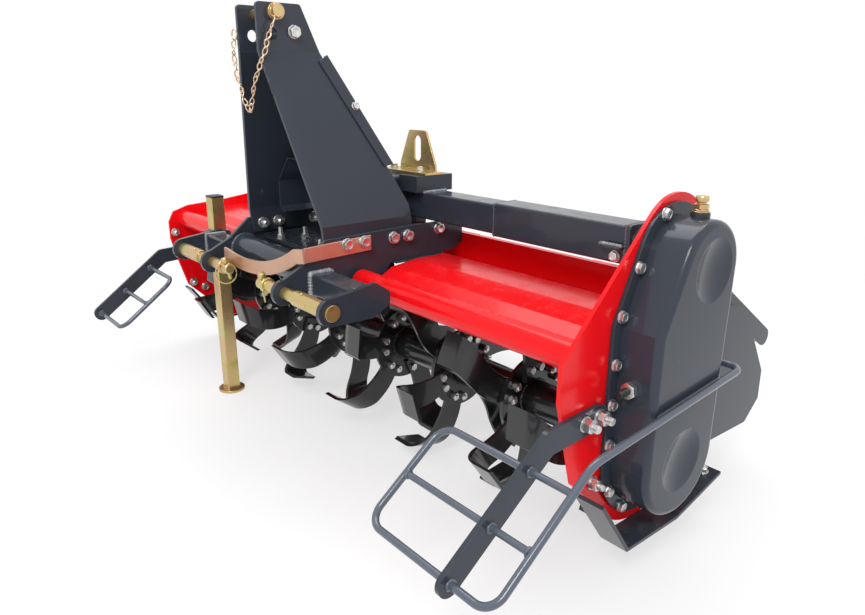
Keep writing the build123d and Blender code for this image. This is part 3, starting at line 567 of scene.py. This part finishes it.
class TillerPaint(bpy.types.PropertyGroup):
    """Colours of the machine's enamels."""

    red: bpy.props.FloatVectorProperty(
        name="Hood red", description="Enamel of hood and side plates",
        subtype="COLOR", size=3, min=0, max=1, default=(0.80, 0.004, 0.008))
    dark: bpy.props.FloatVectorProperty(
        name="Anthracite", description="Enamel of mast, beam, case and hitch",
        subtype="COLOR", size=3, min=0, max=1, default=(0.035, 0.042, 0.057))
    guard: bpy.props.FloatVectorProperty(
        name="Guard blue-grey", description="Enamel of the rod guards",
        subtype="COLOR", size=3, min=0, max=1, default=(0.078, 0.096, 0.128))
    rotor: bpy.props.FloatVectorProperty(
        name="Rotor black", description="Enamel of rotor and tines",
        subtype="COLOR", size=3, min=0, max=1, default=(0.010, 0.011, 0.013))


class TillerSizes(bpy.types.PropertyGroup):
    """Sizes that a user may change."""

    edge: bpy.props.FloatProperty(
        name="Edge softness", description="Width of the rounded edge on cut plates",
        subtype="DISTANCE", unit="LENGTH", default=0.0011, min=0.0, max=0.004)
    weld: bpy.props.FloatProperty(
        name="Weld size", description="Radius of the weld beads",
        subtype="DISTANCE", unit="LENGTH", default=0.0042, min=0.001, max=0.01)
    chain_wire: bpy.props.FloatProperty(
        name="Chain wire", description="Radius of the pin chain's wire",
        subtype="DISTANCE", unit="LENGTH", default=0.0016, min=0.0005, max=0.004)


# Finishes that differ from the node's own material slot
OWN_FINISH = {"shaft_rest": "pink_zinc"}
JOIN_GAP = 2e-5                 # metres between points that are one
FLAT_ANGLE = math.radians(0.6)  # facets that differ by less are one flat
EDGE_ANGLE = math.radians(38)   # sharper edges of a solid are softened


class TILLER_OT_finishes(bpy.types.Operator):
    """Gives each solid its finish and softens its cut edges"""

    bl_idname = "tiller.finishes"
    bl_label = "Finishes"

    def execute(self, context):
        mix_finishes(context.scene.tiller_paint)
        slots = {row["node"]: row["material_slot"] for row in frame["record"]["subparts"]}
        for name, solid in frame["nodes"].items():
            mesh = solid.data
            mesh.materials.clear()
            mesh.materials.append(FINISHES[OWN_FINISH.get(name, slots[name])])
            if "custom_normal" in mesh.attributes:
                mesh.attributes.remove(mesh.attributes["custom_normal"])
            weld = solid.modifiers.new("joined faces", "WELD")
            weld.merge_threshold = JOIN_GAP
            flat = solid.modifiers.new("whole flats", "DECIMATE")
            flat.decimate_type = "DISSOLVE"
            flat.angle_limit = FLAT_ANGLE
            bevel = solid.modifiers.new("soft edges", "BEVEL")
            bevel.width = context.scene.tiller_sizes.edge
            bevel.segments = 2
            bevel.limit_method = "ANGLE"
            bevel.angle_limit = EDGE_ANGLE
            bevel.harden_normals = True
            bevel.use_clamp_overlap = True
        return {"FINISHED"}


# Bolts of the chain case's flange, then of the bearings, round the rotor's axis
CASE_FRONT = ((-15, 708), (-82, 621), (-122, 539), (-128, 450), (-129, 372), (-127, 290))
CASE_REAR = ((96, 698), (134, 620), (132, 525), (131, 430), (129, 335))
CASE_LOW_ANGLES = (206, 238, 270, 302, 334, 6)
CASE_LOW_R = 129.0
CAP_BOLT_R = 72.0
BEARING_BOLT_R = 60.0


class TILLER_OT_case_bolts(bpy.types.Operator):
    """Bolts round the chain case and the bearing plates"""

    bl_idname = "tiller.case_bolts"
    bl_label = "Case bolts"

    def execute(self, context):
        mould = Mould()
        axis = (0.0, ROTOR_Z)
        low = tuple(polar(axis, CASE_LOW_R, angle) for angle in CASE_LOW_ANGLES)
        for i, (y, z) in enumerate(CASE_FRONT + CASE_REAR + low):
            bolt(mould, (PLATE_X + CASE_FLANGE_T, y, z), (1, 0, 0), 12, roll=i * 23)
        for i in range(6):
            angle = i * 60 + 15
            y, z = polar(axis, CAP_BOLT_R, angle)
            bolt(mould, (-PLATE_X - BEARING_CAP_T, y, z), (-1, 0, 0), 10, roll=i * 31)
            y, z = polar(axis, BEARING_BOLT_R, angle)
            for side in (1, -1):
                nut(mould, (side * (PLATE_X - PLATE_T - BEARING_T), y, z), (-side, 0, 0), 10,
                    stud=4, roll=i * 17)
        mould.cast("case_bolts", "bright_zinc", "frame", "bright_zinc")
        return {"FINISHED"}


# Bolts of the frame
MAST_REAR_BOLTS = ((-98, 566), (-53, 566))
MAST_FRONT_BOLTS = {1: ((-238, 569), (-190, 569)), -1: ((-256, 569), (-211, 569))}
HITCH_END_BOLT = (49, 572)
SPACER_BOLT = (-262, 1040)
GUARD_ARM_BOLTS = ((-207, 360), (-167, 362))
SKID_FRONT_BOLT = (-158, 219)
SKID_REAR_NUT = (912, 205, 118)
SKID_UP = (0, -0.23, 0.97)
LEFT_PLATE_BOLTS = ((-247, 433), (-200, 244))
TIE_PLATE_STUDS = ((-100, -246), (-70, -190), (100, -246), (70, -190))  # (x, y)
BEAM_END_BOLT = (764, 25, 603)
BRACKET_BOLTS = ((-10, 68, 710), (106, 68, 710))


class TILLER_OT_frame_bolts(bpy.types.Operator):
    """Bolts and nuts of hitch, mast, hood, beam, guards and skids"""

    bl_idname = "tiller.frame_bolts"
    bl_label = "Frame bolts"

    def execute(self, context):
        mould = Mould()
        inner_x = PLATE_X - PLATE_T
        for side in (1, -1):
            out, back = (side, 0, 0), (-side, 0, 0)
            for i, (y, z) in enumerate(MAST_REAR_BOLTS):
                bolt(mould, (side * HITCH_OUTER, y, z), out, 16, roll=i * 19 + 5)
                nut(mould, (side * MAST_INNER, y, z), back, 16, stud=9, roll=i * 13)
            # on the right the front pair also holds the shaft rest's shank
            head_x = HITCH_OUTER + (SHANK_T if side > 0 else 0)
            for i, (y, z) in enumerate(MAST_FRONT_BOLTS[side]):
                bolt(mould, (side * head_x, y, z), out, 16, roll=i * 27 + 9)
                nut(mould, (side * MAST_INNER, y, z), back, 16, stud=9, roll=i * 41 + 10)
            bolt(mould, (side * HITCH_OUTER, *HITCH_END_BOLT), out, 16, roll=21)
            bolt(mould, (side * MAST_TOP_OUTER, *SPACER_BOLT), out, 16, roll=12)
            for i, (y, z) in enumerate(GUARD_ARM_BOLTS):
                nut(mould, (side * (PLATE_X + GUARD_ARM_T), y, z), out, 16, stud=13,
                    roll=i * 22, spring=True)
                bolt(mould, (side * inner_x, y, z), back, 16, roll=i * 15)
            nut(mould, (side * PLATE_X, *SKID_FRONT_BOLT), out, 14, stud=11, roll=8, spring=True)
            bolt(mould, (side * inner_x, *SKID_FRONT_BOLT), back, 14, roll=8)
            x, y, z = SKID_REAR_NUT
            nut(mould, (side * x, y, z), SKID_UP, 12, stud=8, roll=15)
        for i, (y, z) in enumerate(LEFT_PLATE_BOLTS):
            nut(mould, (-inner_x, y, z), (1, 0, 0), 14, stud=7, roll=i * 21 + 4)
            bolt(mould, (-PLATE_X, y, z), (-1, 0, 0), 14, roll=i * 21)
        for x, y in TIE_PLATE_STUDS:
            nut(mould, (x, y, TIE_PLATE_Z), (0, 0, 1), 12, stud=17, roll=x + y, lock=True)
        bolt(mould, BEAM_END_BOLT, (0, -1, 0), 12, roll=14)
        for i, spot in enumerate(BRACKET_BOLTS):
            bolt(mould, spot, (0, 0, 1), 12, roll=i * 14)
        mould.cast("frame_bolts", "bright_zinc", "frame", "bright_zinc")
        return {"FINISHED"}


TINE_BOLT_R = 76.0
TINE_BOLT_ASIDE = 15.0


class TILLER_OT_tine_bolts(bpy.types.Operator):
    """Two bolts through each tine and its flange"""

    bl_idname = "tiller.tine_bolts"
    bl_label = "Tine bolts"

    def execute(self, context):
        mould = Mould()
        for index in range(FLANGES):
            middle = flange_x(index)
            for spot in range(TINE_SPOTS):
                side = 1 if spot % 2 == 0 else -1
                if index == (FLANGES - 1 if side > 0 else 0):
                    continue    # the end flanges carry tines on their inner side only
                turn = math.radians(index * HELIX_STEP + spot * 360 / TINE_SPOTS)
                for across in (-TINE_BOLT_ASIDE, TINE_BOLT_ASIDE):
                    y = -math.sin(turn) * TINE_BOLT_R + math.cos(turn) * across
                    z = math.cos(turn) * TINE_BOLT_R + math.sin(turn) * across + ROTOR_Z
                    bolt(mould, (middle + side * (FLANGE_HALF + TINE_T), y, z), (side, 0, 0), 12,
                         roll=spot * 13 + index * 7, flat=False)
                    nut(mould, (middle - side * FLANGE_HALF, y, z), (-side, 0, 0), 12, stud=5,
                        roll=spot * 11 + index * 5, spring=True, flat=False)
        mould.cast("tine_bolts", "bright_zinc", "rotor", "bright_zinc")
        return {"FINISHED"}


BEAD_STEP = 1.9
BEAD_WAVE = (1.06, 1.0, 0.9, 0.96)
WELD_ANGLE = 60.0               # welds stay smooth up to this angle between faces
STUB_HALF = (28, 25)            # half the stub's depth and height
TIE_PLATE_YS = (-250, -130)
BLOCK_BEADS = (((172, 32, 663), (172, 100, 663)), ((99, 28, 663), (170, 28, 663)))
TAB_BEAD = ((729, 22, 624), (740, 15, 627), (784, 15, 627))
SOCKET_ZS = (458, 512)


def bead(mould, path, radius):
    """Weld bead with one ripple every few millimetres."""
    points = [Vector(p) for p in path]
    even = []
    for a, b in zip(points, points[1:]):
        count = max(1, round((b - a).length / BEAD_STEP))
        even += [a.lerp(b, i / count) for i in range(count)]
    mould.tube(even + [points[-1]], radius, steps=8,
               ripple=lambda i: radius * BEAD_WAVE[i % 4] * (1 + 0.1 * math.sin(i * 1.7)))


def ring_path(x, centre, radius, steps):
    """Circle about an axis along X."""
    return [(x, y, z) for y, z in arc(centre, radius, 0, 360, steps)]


def box_path(x, centre, half_y, half_z):
    """Rectangle about an axis along X."""
    (y, z), corners = centre, ((-1, -1), (-1, 1), (1, 1), (1, -1), (-1, -1))
    return [(x, y + i * half_y, z + j * half_z) for i, j in corners]


class TILLER_OT_welds(bpy.types.Operator):
    """Weld beads at the joints of tubes, plates and rods"""

    bl_idname = "tiller.welds"
    bl_label = "Welds"

    def execute(self, context):
        size = context.scene.tiller_sizes.weld / MM
        self.weld_frame(size)
        self.weld_guards(size)
        self.weld_rotor(size)
        return {"FINISHED"}

    def weld_frame(self, size):
        """Beads of the hitch, the beam and the leg socket; the bright ones carry a painted
        highlight, a lighter copy of the anthracite.
        """
        painted, bright = Mould(), Mould()
        for side in (1, -1):
            bead(painted, ring_path(side * (HITCH_INNER - 1), CROSS_TUBE, CROSS_TUBE_R + 1, 28),
                 size)
            bead(bright, box_path(side * (HITCH_OUTER + 2), EAR_STUB, *STUB_HALF), size * 1.7)
            bead(bright, box_path(side * (EAR_INNER - 2), EAR_STUB, *STUB_HALF), size * 1.2)
            tie_x = side * (HITCH_INNER - 2)
            bead(painted, [(tie_x, y, TIE_PLATE_Z + 1) for y in TIE_PLATE_YS], size * 0.8)
        bead(painted, box_path(SLEEVE_X - 1, BEAM, BEAM_HALF - 3, BEAM_HALF - 3), size * 0.9)
        bead(painted, box_path(BEAM_END_X - 1, BEAM, BEAM_HALF, BEAM_HALF), size)
        for path in BLOCK_BEADS:
            bead(bright, path, size)
        bead(bright, TAB_BEAD, size * 0.9)
        for y in (LEG_Y - SOCKET_HALF, LEG_Y + SOCKET_HALF):
            bead(painted, [(-EAR_OUTER - 1, y, z) for z in SOCKET_ZS], size * 0.8)
        painted.cast("frame_welds", "dark_weld", "frame", "dark_paint", angle=WELD_ANGLE)
        # the bright beads take the anthracite with a painted highlight
        bright.cast("highlit_welds", "bare_weld", "frame", "dark_paint", angle=WELD_ANGLE)

    def weld_guards(self, size):
        """Collars where the rods pass the arm and tees at the ends of the middle rod."""
        mould = Mould()
        for side, outer in GUARD_OUTER_X.items():
            for i, (along, radius) in enumerate(GUARD_RODS):
                centre = polar(GUARD_BEND, along, GUARD_SLOPE)
                for x in (PLATE_X - 0.5, PLATE_X + GUARD_ARM_T + 0.5):
                    bead(mould, ring_path(side * x, centre, radius + 0.8, 20), size * 0.85)
                if i == MIDDLE_ROD:
                    for x in (GUARD_INNER_X + 7.5, outer - 7.5):
                        bead(mould, ring_path(side * x, centre, radius + 0.2, 20), size * 0.75)
        mould.cast("guard_welds", "guard_weld", "frame", "guard_paint", angle=WELD_ANGLE)

    def weld_rotor(self, size):
        """Beads on both sides of each rotor flange."""
        mould = Mould()
        for index in range(FLANGES):
            for side in (1, -1):
                x = flange_x(index) + side * (FLANGE_HALF + 1)
                bead(mould, ring_path(x, (0, ROTOR_Z), ROTOR_TUBE_R + 1.5, 30), size)
        mould.cast("rotor_welds", "rotor_paint", "rotor", "rotor_paint", angle=WELD_ANGLE)


# Lip of the mast's cover on the right mast plate, and the plate's outward normal
LIP_CORNERS = ((58.9, -205.4, 978.2), (54.8, -181.8, 989.9), (143.6, -58.0, 736.4),
               (144.7, -81.1, 733.1))
LIP_LAYERS = ((0.2, 0.0), (3.2, 0.0), (4.2, 0.8))   # (height, inset)
LIP_TOP = 4.2
LIP_BOLT = (95.0, -131.0, 875.0)
LIP_NORMAL = Vector((386, 0, 135)).normalized()


class TILLER_OT_mast_trim(bpy.types.Operator):
    """Folded lips of the mast's rear cover, with their bolts"""

    bl_idname = "tiller.mast_trim"
    bl_label = "Mast trim"

    def execute(self, context):
        lips, bolts = Mould(), Mould()
        corners = [Vector(p) for p in LIP_CORNERS]
        middle = sum(corners, Vector()) / len(corners)
        lip = [[c + (middle - c).normalized() * inset + LIP_NORMAL * lift for c in corners]
               for lift, inset in LIP_LAYERS]
        # the lip's return round the plate's rear edge
        offsets = (LIP_NORMAL * LIP_TOP, LIP_NORMAL * LIP_TOP + Vector((0, 3, 2)),
                   Vector((-7, 3, 0)), Vector((-7, 0, 0)))
        fold = [[corner + offset for offset in offsets] for corner in corners[1:3]]
        spot = Vector(LIP_BOLT) + LIP_NORMAL * 4.0
        for side in (1, -1):
            mirror = Matrix.Diagonal((side, 1, 1, 1))
            lips.rings(lip, mirror)
            lips.rings(fold, mirror)
            bolt(bolts, mirror @ spot, mirror @ LIP_NORMAL, 10, roll=8)
        lips.cast("mast_lips", "dark_paint", "frame", "dark_paint")
        bolts.cast("mast_lip_bolts", "bright_zinc", "frame", "bright_zinc")
        return {"FINISHED"}


TAB_OUTLINE = ((736, 24), (736, 14), (741, 8), (781, 8), (785, 12), (785, 24))  # (x, y)
TAB_Z = 619.0
TAB_T = 6.0


class TILLER_OT_beam_tab(bpy.types.Operator):
    """Small tab welded on the beam's outer end"""

    bl_idname = "tiller.beam_tab"
    bl_label = "Beam tab"

    def execute(self, context):
        mould = Mould()
        mould.prism(TAB_OUTLINE, TAB_T, Matrix.Translation((0, 0, TAB_Z)))
        mould.cast("beam_tab", "dark_paint", "frame", "dark_paint", soften=0.8)
        return {"FINISHED"}


# Turned profiles as (radius, height)
STEM = ((3.6, -30), (5.0, -27), (5.0, 15), (8.2, 16), (9.6, 18.5), (9.6, 25), (8.2, 27.5),
        (2.5, 28.5))
COLLAR = ((14.2, 0), (17.5, 0.6), (18.5, 1.6), (18.5, 9), (17.5, 10), (14.2, 10.6))
SPRING_PIN = ((2.4, -21.5), (3.2, -20.5), (3.2, 20.5), (2.4, 21.5))
LYNCH_RINGS = ((1, (0.44, 0.9, 0.1), 16), (-1, (0.93, -0.32, 0.2), 14))  # (side, normal, drop)
LYNCH_RING_R = 26.0
LYNCH_WIRE = 1.9
LYNCH_X, COLLAR_X, SPRING_PIN_X = 98.0, 112.0, 284.0


class TILLER_OT_lynch_pins(bpy.types.Operator):
    """Collars, lynch pins and their rings on the lower link pins"""

    bl_idname = "tiller.lynch_pins"
    bl_label = "Lynch pins"

    def execute(self, context):
        mould = Mould()
        y, z = LINK_PIN
        for side, normal, drop in LYNCH_RINGS:
            x = side * LYNCH_X
            # stem through the link pin with its shouldered head, and the sprung ring on it
            mould.lathe(STEM, aim((x, y, z), (0.1 * side, -0.2, 1)))
            hang = aim((x + side * 3, y - 3, z - drop), normal)
            mould.tube([hang @ Vector((*p, 0)) for p in arc((0, 0), LYNCH_RING_R, 0, 354, 48)],
                       LYNCH_WIRE)
            mould.lathe(COLLAR, aim((side * COLLAR_X, y, z), (side, 0, 0)), steps=32)
            mould.lathe(SPRING_PIN, aim((side * SPRING_PIN_X, y, z), (0, -0.35, 1)), steps=14)
        mould.cast("lynch_pins", "yellow_zinc", "frame", "yellow_zinc")
        return {"FINISHED"}


# The pin chain's middle line, from the pin's head down and up to the far mast plate
CHAIN_POINTS = (
    (72, -326, 1052), (67, -334, 1026), (63, -348, 985), (47, -361, 940), (23, -362, 893),
    (2, -358, 862), (-16, -360, 888), (-35, -364, 935), (-50, -363, 985), (-56, -358, 1024),
)
CURVE_STEPS = 60                # points on the curve between two of these
LINK_LENGTH = 17.0
LINK_HALF_WIDTH = 4.6
LINK_TWIST = 0.95               # radians, at either end of a link
LINK_STEPS = 24
HOOK_TAIL = ((71, -318, 1064), (72, -324, 1054))


def smooth_path(points):
    """Catmull-Rom curve through the points."""
    points = [Vector(p) for p in points]
    points = [points[0] * 2 - points[1]] + points + [points[-1] * 2 - points[-2]]
    curve = []
    for a, b, c, d in zip(points, points[1:], points[2:], points[3:]):
        for i in range(CURVE_STEPS):
            t = i / CURVE_STEPS
            curve.append(0.5 * (2 * b + (c - a) * t + (2 * a - 5 * b + 4 * c - d) * t**2
                                + (3 * b - a - 3 * c + d) * t**3))
    return curve + [points[-2]]


def even_marks(path, step):
    """Marks at even distances along a fine path, near the given step."""
    spans = [(b - a).length for a, b in zip(path, path[1:])]
    step = sum(spans) / round(sum(spans) / step)
    marks, travelled = [path[0]], 0.0
    for span, point in zip(spans, path[1:]):
        travelled += span
        if travelled >= step * len(marks) - 0.01:
            marks.append(point)
    return marks


def chain_link(start, end, roll, wire):
    """Middle line of a twisted link that reaches over both marks by the thickness of its wire."""
    turn = aim((start + end) / 2, end - start, roll)
    half = (end - start).length / 2 + wire * 1.1
    loop = []
    for c, s in spokes(LINK_STEPS):
        twist, wide = LINK_TWIST * c, LINK_HALF_WIDTH * s
        loop.append(turn @ Vector((wide * math.cos(twist), wide * math.sin(twist), half * c)))
    return loop


class TILLER_OT_pin_chain(bpy.types.Operator):
    """Twisted link chain that keeps the upper pin, with its hooks"""

    bl_idname = "tiller.pin_chain"
    bl_label = "Pin chain"

    def execute(self, context):
        wire = context.scene.tiller_sizes.chain_wire / MM
        mould = Mould()
        marks = even_marks(smooth_path(CHAIN_POINTS), LINK_LENGTH)
        for i in range(1, len(marks) - 1):
            marks[i] = marks[i] + Vector(
                (1.6 * math.sin(i * 2.4), 1.2 * math.cos(i * 1.9), math.sin(i * 3.1)))
        for i, (a, b) in enumerate(zip(marks, marks[1:])):
            roll = 90 * i + 25 * math.sin(i * 2.1)
            mould.tube(chain_link(a, b, roll, wire), wire, steps=8, closed=True)
        # hooks on the pin's head and on the far mast plate
        head = [(71, y, z) for y, z in arc((-310, 1080), 15.5, -150, 120, 30)]
        mould.tube([*head, *HOOK_TAIL], wire * 1.1, steps=8)
        far = [(x, -357, z) for x, z in arc((-54, 1035), 12, 0, 350, 28)]
        mould.tube(far, wire * 1.1, steps=8)
        mould.cast("pin_chain", "pale_zinc", "frame", "yellow_zinc")
        return {"FINISHED"}


# Breather plug as (radius, height) from the case's top: screwed foot, collar, then the cap over
# its hexagon
PLUG_SPOT = (925.0, 40.0)       # (x, y)
PLUG_SUNK = 9.0                 # how far its thread reaches down
PLUG_FOOT = ((8.6, -9), (8.6, 0), (14.6, 0), (15, 0.6), (15, 2.6), (14.4, 3.2))
PLUG_COLLAR = ((12.4, 3), (13.2, 3.6), (13.2, 6), (12.4, 6.6))
PLUG_CAP = ((9.5, 15), (7.6, 16), (7.6, 18), (9.6, 19), (11.2, 20), (11.6, 21.4), (11.6, 27.4),
            (10.6, 29.4), (7, 30))
PLUG_FLATS, PLUG_HEX_T, PLUG_HEX_AT = 24.0, 9.0, 6.4
TENSION_FLATS, TENSION_NUT_T = 28.0, 13.0
TENSION_SCREW_R, TENSION_SCREW_LENGTH = 7.5, 24.0


class TILLER_OT_plug(bpy.types.Operator):
    """Filler plug with its breather cap, and the chain tensioner"""

    bl_idname = "tiller.plug"
    bl_label = "Plug and tensioner"

    def execute(self, context):
        mould = Mould()
        foot_z = solid_box("filler_plug")[0].z
        top = aim((*PLUG_SPOT, foot_z + PLUG_SUNK), (0, 0, 1), roll=15)
        for profile in (PLUG_FOOT, PLUG_COLLAR, PLUG_CAP):
            mould.lathe(profile, top, steps=40)
        mould.rings(hex_rings(PLUG_FLATS, PLUG_HEX_T, both=True), lifted(top, PLUG_HEX_AT))
        plug = mould.cast("breather_plug", "yellow_zinc", "frame", "yellow_zinc")
        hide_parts("filler_plug")
        low, high = solid_box("chain_tensioner")
        back = aim(((low.x + high.x) / 2, high.y, (low.z + high.z) / 2), (0, -1, 0), roll=10)
        nut_mould, screw = Mould(), Mould()
        nut_mould.rings(hex_rings(TENSION_FLATS, TENSION_NUT_T, both=True), back)
        tension = nut_mould.cast("tension_nut", "bright_zinc", "frame", "bright_zinc")
        screw.lathe(thread(TENSION_SCREW_R, TENSION_SCREW_LENGTH),
                    lifted(back, TENSION_NUT_T - 0.5), steps=20)
        screw.cast("tension_screw", "black_plastic", "frame", "bright_zinc")
        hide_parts("chain_tensioner")
        return {"FINISHED"}


CAP_HALF = 20.3
CAP_CORNER_R = 4.0
CAP_LAYERS = ((0.3, -4.6), (0.0, -3.8), (0.0, -0.8), (0.8, 0.1), (2.5, 0.5))  # (inset, height)


class TILLER_OT_leg_cap(bpy.types.Operator):
    """Plastic cap in the parking leg's upper end"""

    bl_idname = "tiller.leg_cap"
    bl_label = "Leg cap"

    def execute(self, context):
        low, high = solid_box("parking_leg")
        x, y = (low.x + high.x) / 2, (low.y + high.y) / 2
        reach = CAP_HALF - CAP_CORNER_R
        corners = ((1, 1), (-1, 1), (-1, -1), (1, -1))
        outline = [point for quarter, (i, j) in enumerate(corners)
                   for point in arc((i * reach, j * reach), CAP_CORNER_R,
                                    quarter * 90, quarter * 90 + 90, 5)]
        rings = []
        for inset, height in CAP_LAYERS:
            share = 1 - inset / CAP_HALF
            rings.append([(x + px * share, y + py * share, high.z + height) for px, py in outline])
        cap = Mould()
        cap.rings(rings)
        cap.cast("leg_cap", "black_plastic", "parking_leg", "dark_paint")
        return {"FINISHED"}


# Studio, in metres: lamps as (name, place, aimed at, size, watts)
LAMPS = (
    ("key", (2.6, -3.4, 4.2), (0, 0, 0.4), (2.0, 2.0), 165),
    ("fill", (4.2, 1.2, 2.2), (0, 0, 0.5), (2.0, 3.0), 8),
    ("top", (-0.6, 0.8, 4.6), (0, 0, 0.3), (4.0, 2.4), 110),
)
FLOOR_REACH = 30.0
FLOOR_PALE = (0.86, 0.86, 0.86)
FLOOR_FADE = (1.2, 4.0)         # distances between which the floor goes over to white
FLOOR_WHITE = (0.62, 1.0)       # share of white at these distances
WORLD_LIGHT = 0.75              # strength of the world where it lights the object
CAMERA_SPOT = (1556.67, -1124.88, 922.04)
CAMERA_TURN = (49.59, 17.56, 0.15)      # yaw, pitch and roll in degrees
FOCAL_PX, WIDTH_PX = 697.64, 865
SENSOR = 36.0


class TILLER_OT_studio(bpy.types.Operator):
    """Pale floor, soft light and the camera"""

    bl_idname = "tiller.studio"
    bl_label = "Studio"

    def execute(self, context):
        scene = context.scene
        scene.view_settings.view_transform = "Standard"
        self.lay_floor(scene)
        self.light_world(scene)
        for lamp in LAMPS:
            self.hang_lamp(scene, *lamp)
        self.set_camera(scene)
        return {"FINISHED"}

    def lay_floor(self, scene):
        """Matt floor that keeps its shadow near the machine and goes over to white around it."""
        mesh = bpy.data.meshes.new("floor")
        corners = ((-1, -1), (1, -1), (1, 1), (-1, 1))
        mesh.from_pydata([(i * FLOOR_REACH, j * FLOOR_REACH, 0) for i, j in corners], [],
                         [(0, 1, 2, 3)])
        pale = Finish("pale floor")
        mesh.materials.append(pale.finish(Base_Color=FLOOR_PALE, Roughness=0.7))
        away = pale.node("ShaderNodeVectorMath", {"operation": "LENGTH"}, {0: pale.spot},
                         out="Value")
        surface = pale.node("ShaderNodeMixShader", {}, {
            0: pale.shown() * away.ramp(*FLOOR_FADE, *FLOOR_WHITE),
            1: Flow(pale, pale.shader.outputs[0]),
            2: pale.node("ShaderNodeEmission"),
        })
        pale.link(surface, pale.tree.nodes["Material Output"].inputs["Surface"])
        floor = bpy.data.objects.new("floor", mesh)
        scene.collection.objects.link(floor)

    def light_world(self, scene):
        """White world that is plain white to look at and a little weaker as a light."""
        scene.world = bpy.data.worlds.new("studio")
        scene.world.use_nodes = True
        sky = Recipe(scene.world.node_tree)
        background = sky.tree.nodes["Background"]
        sky.link((1, 1, 1, 1), background.inputs["Color"])
        sky.link(1 - (1 - sky.shown()) * (1 - WORLD_LIGHT), background.inputs["Strength"])

    def hang_lamp(self, scene, name, spot, aimed, size, power):
        """Soft rectangular lamp."""
        lamp = bpy.data.lights.new(name, "AREA")
        lamp.shape = "RECTANGLE"
        lamp.size, lamp.size_y = size
        lamp.energy = power
        holder = bpy.data.objects.new(name, lamp)
        scene.collection.objects.link(holder)
        holder.location = spot
        holder.rotation_euler = (Vector(aimed) - Vector(spot)).to_track_quat("-Z", "Y").to_euler()

    def set_camera(self, scene):
        """Camera at waist height off the machine's right front corner."""
        camera = bpy.data.objects.new("camera", bpy.data.cameras.new("camera"))
        scene.collection.objects.link(camera)
        camera.data.sensor_width = SENSOR
        camera.data.lens = FOCAL_PX / WIDTH_PX * SENSOR
        camera.location = place(CAMERA_SPOT)
        yaw, pitch, roll = (math.radians(angle) for angle in CAMERA_TURN)
        turn = Matrix.Rotation(yaw, 4, "Z") @ Matrix.Rotation(math.pi / 2 - pitch, 4, "X")
        camera.rotation_euler = (turn @ Matrix.Rotation(roll, 4, "Z")).to_euler()
        scene.camera = camera


STEPS = (
    TILLER_OT_finishes, TILLER_OT_case_bolts, TILLER_OT_frame_bolts, TILLER_OT_tine_bolts,
    TILLER_OT_welds, TILLER_OT_mast_trim, TILLER_OT_beam_tab, TILLER_OT_lynch_pins,
    TILLER_OT_pin_chain, TILLER_OT_plug, TILLER_OT_leg_cap, TILLER_OT_studio,
)


class TILLER_PT_panel(bpy.types.Panel):
    """The steps that dress the tiller"""

    bl_idname = "TILLER_PT_panel"
    bl_label = "Tiller"
    bl_space_type = "VIEW_3D"
    bl_region_type = "UI"
    bl_category = "Tiller"

    def draw(self, context):
        column = self.layout.column()
        for name in TillerPaint.__annotations__:
            column.prop(context.scene.tiller_paint, name)
        for name in TillerSizes.__annotations__:
            column.prop(context.scene.tiller_sizes, name)
        for step in STEPS:
            column.operator(step.bl_idname)


CLASSES = (TillerPaint, TillerSizes, *STEPS, TILLER_PT_panel)


def register():
    for item in CLASSES:
        bpy.utils.register_class(item)
    bpy.types.Scene.tiller_paint = bpy.props.PointerProperty(type=TillerPaint)
    bpy.types.Scene.tiller_sizes = bpy.props.PointerProperty(type=TillerSizes)


def unregister():
    del bpy.types.Scene.tiller_paint
    del bpy.types.Scene.tiller_sizes
    for item in reversed(CLASSES):
        bpy.utils.unregister_class(item)


def main():
    register()
    for step in STEPS:
        getattr(bpy.ops.tiller, step.bl_idname.split(".")[1])()


if __name__ == "__main__":
    main()
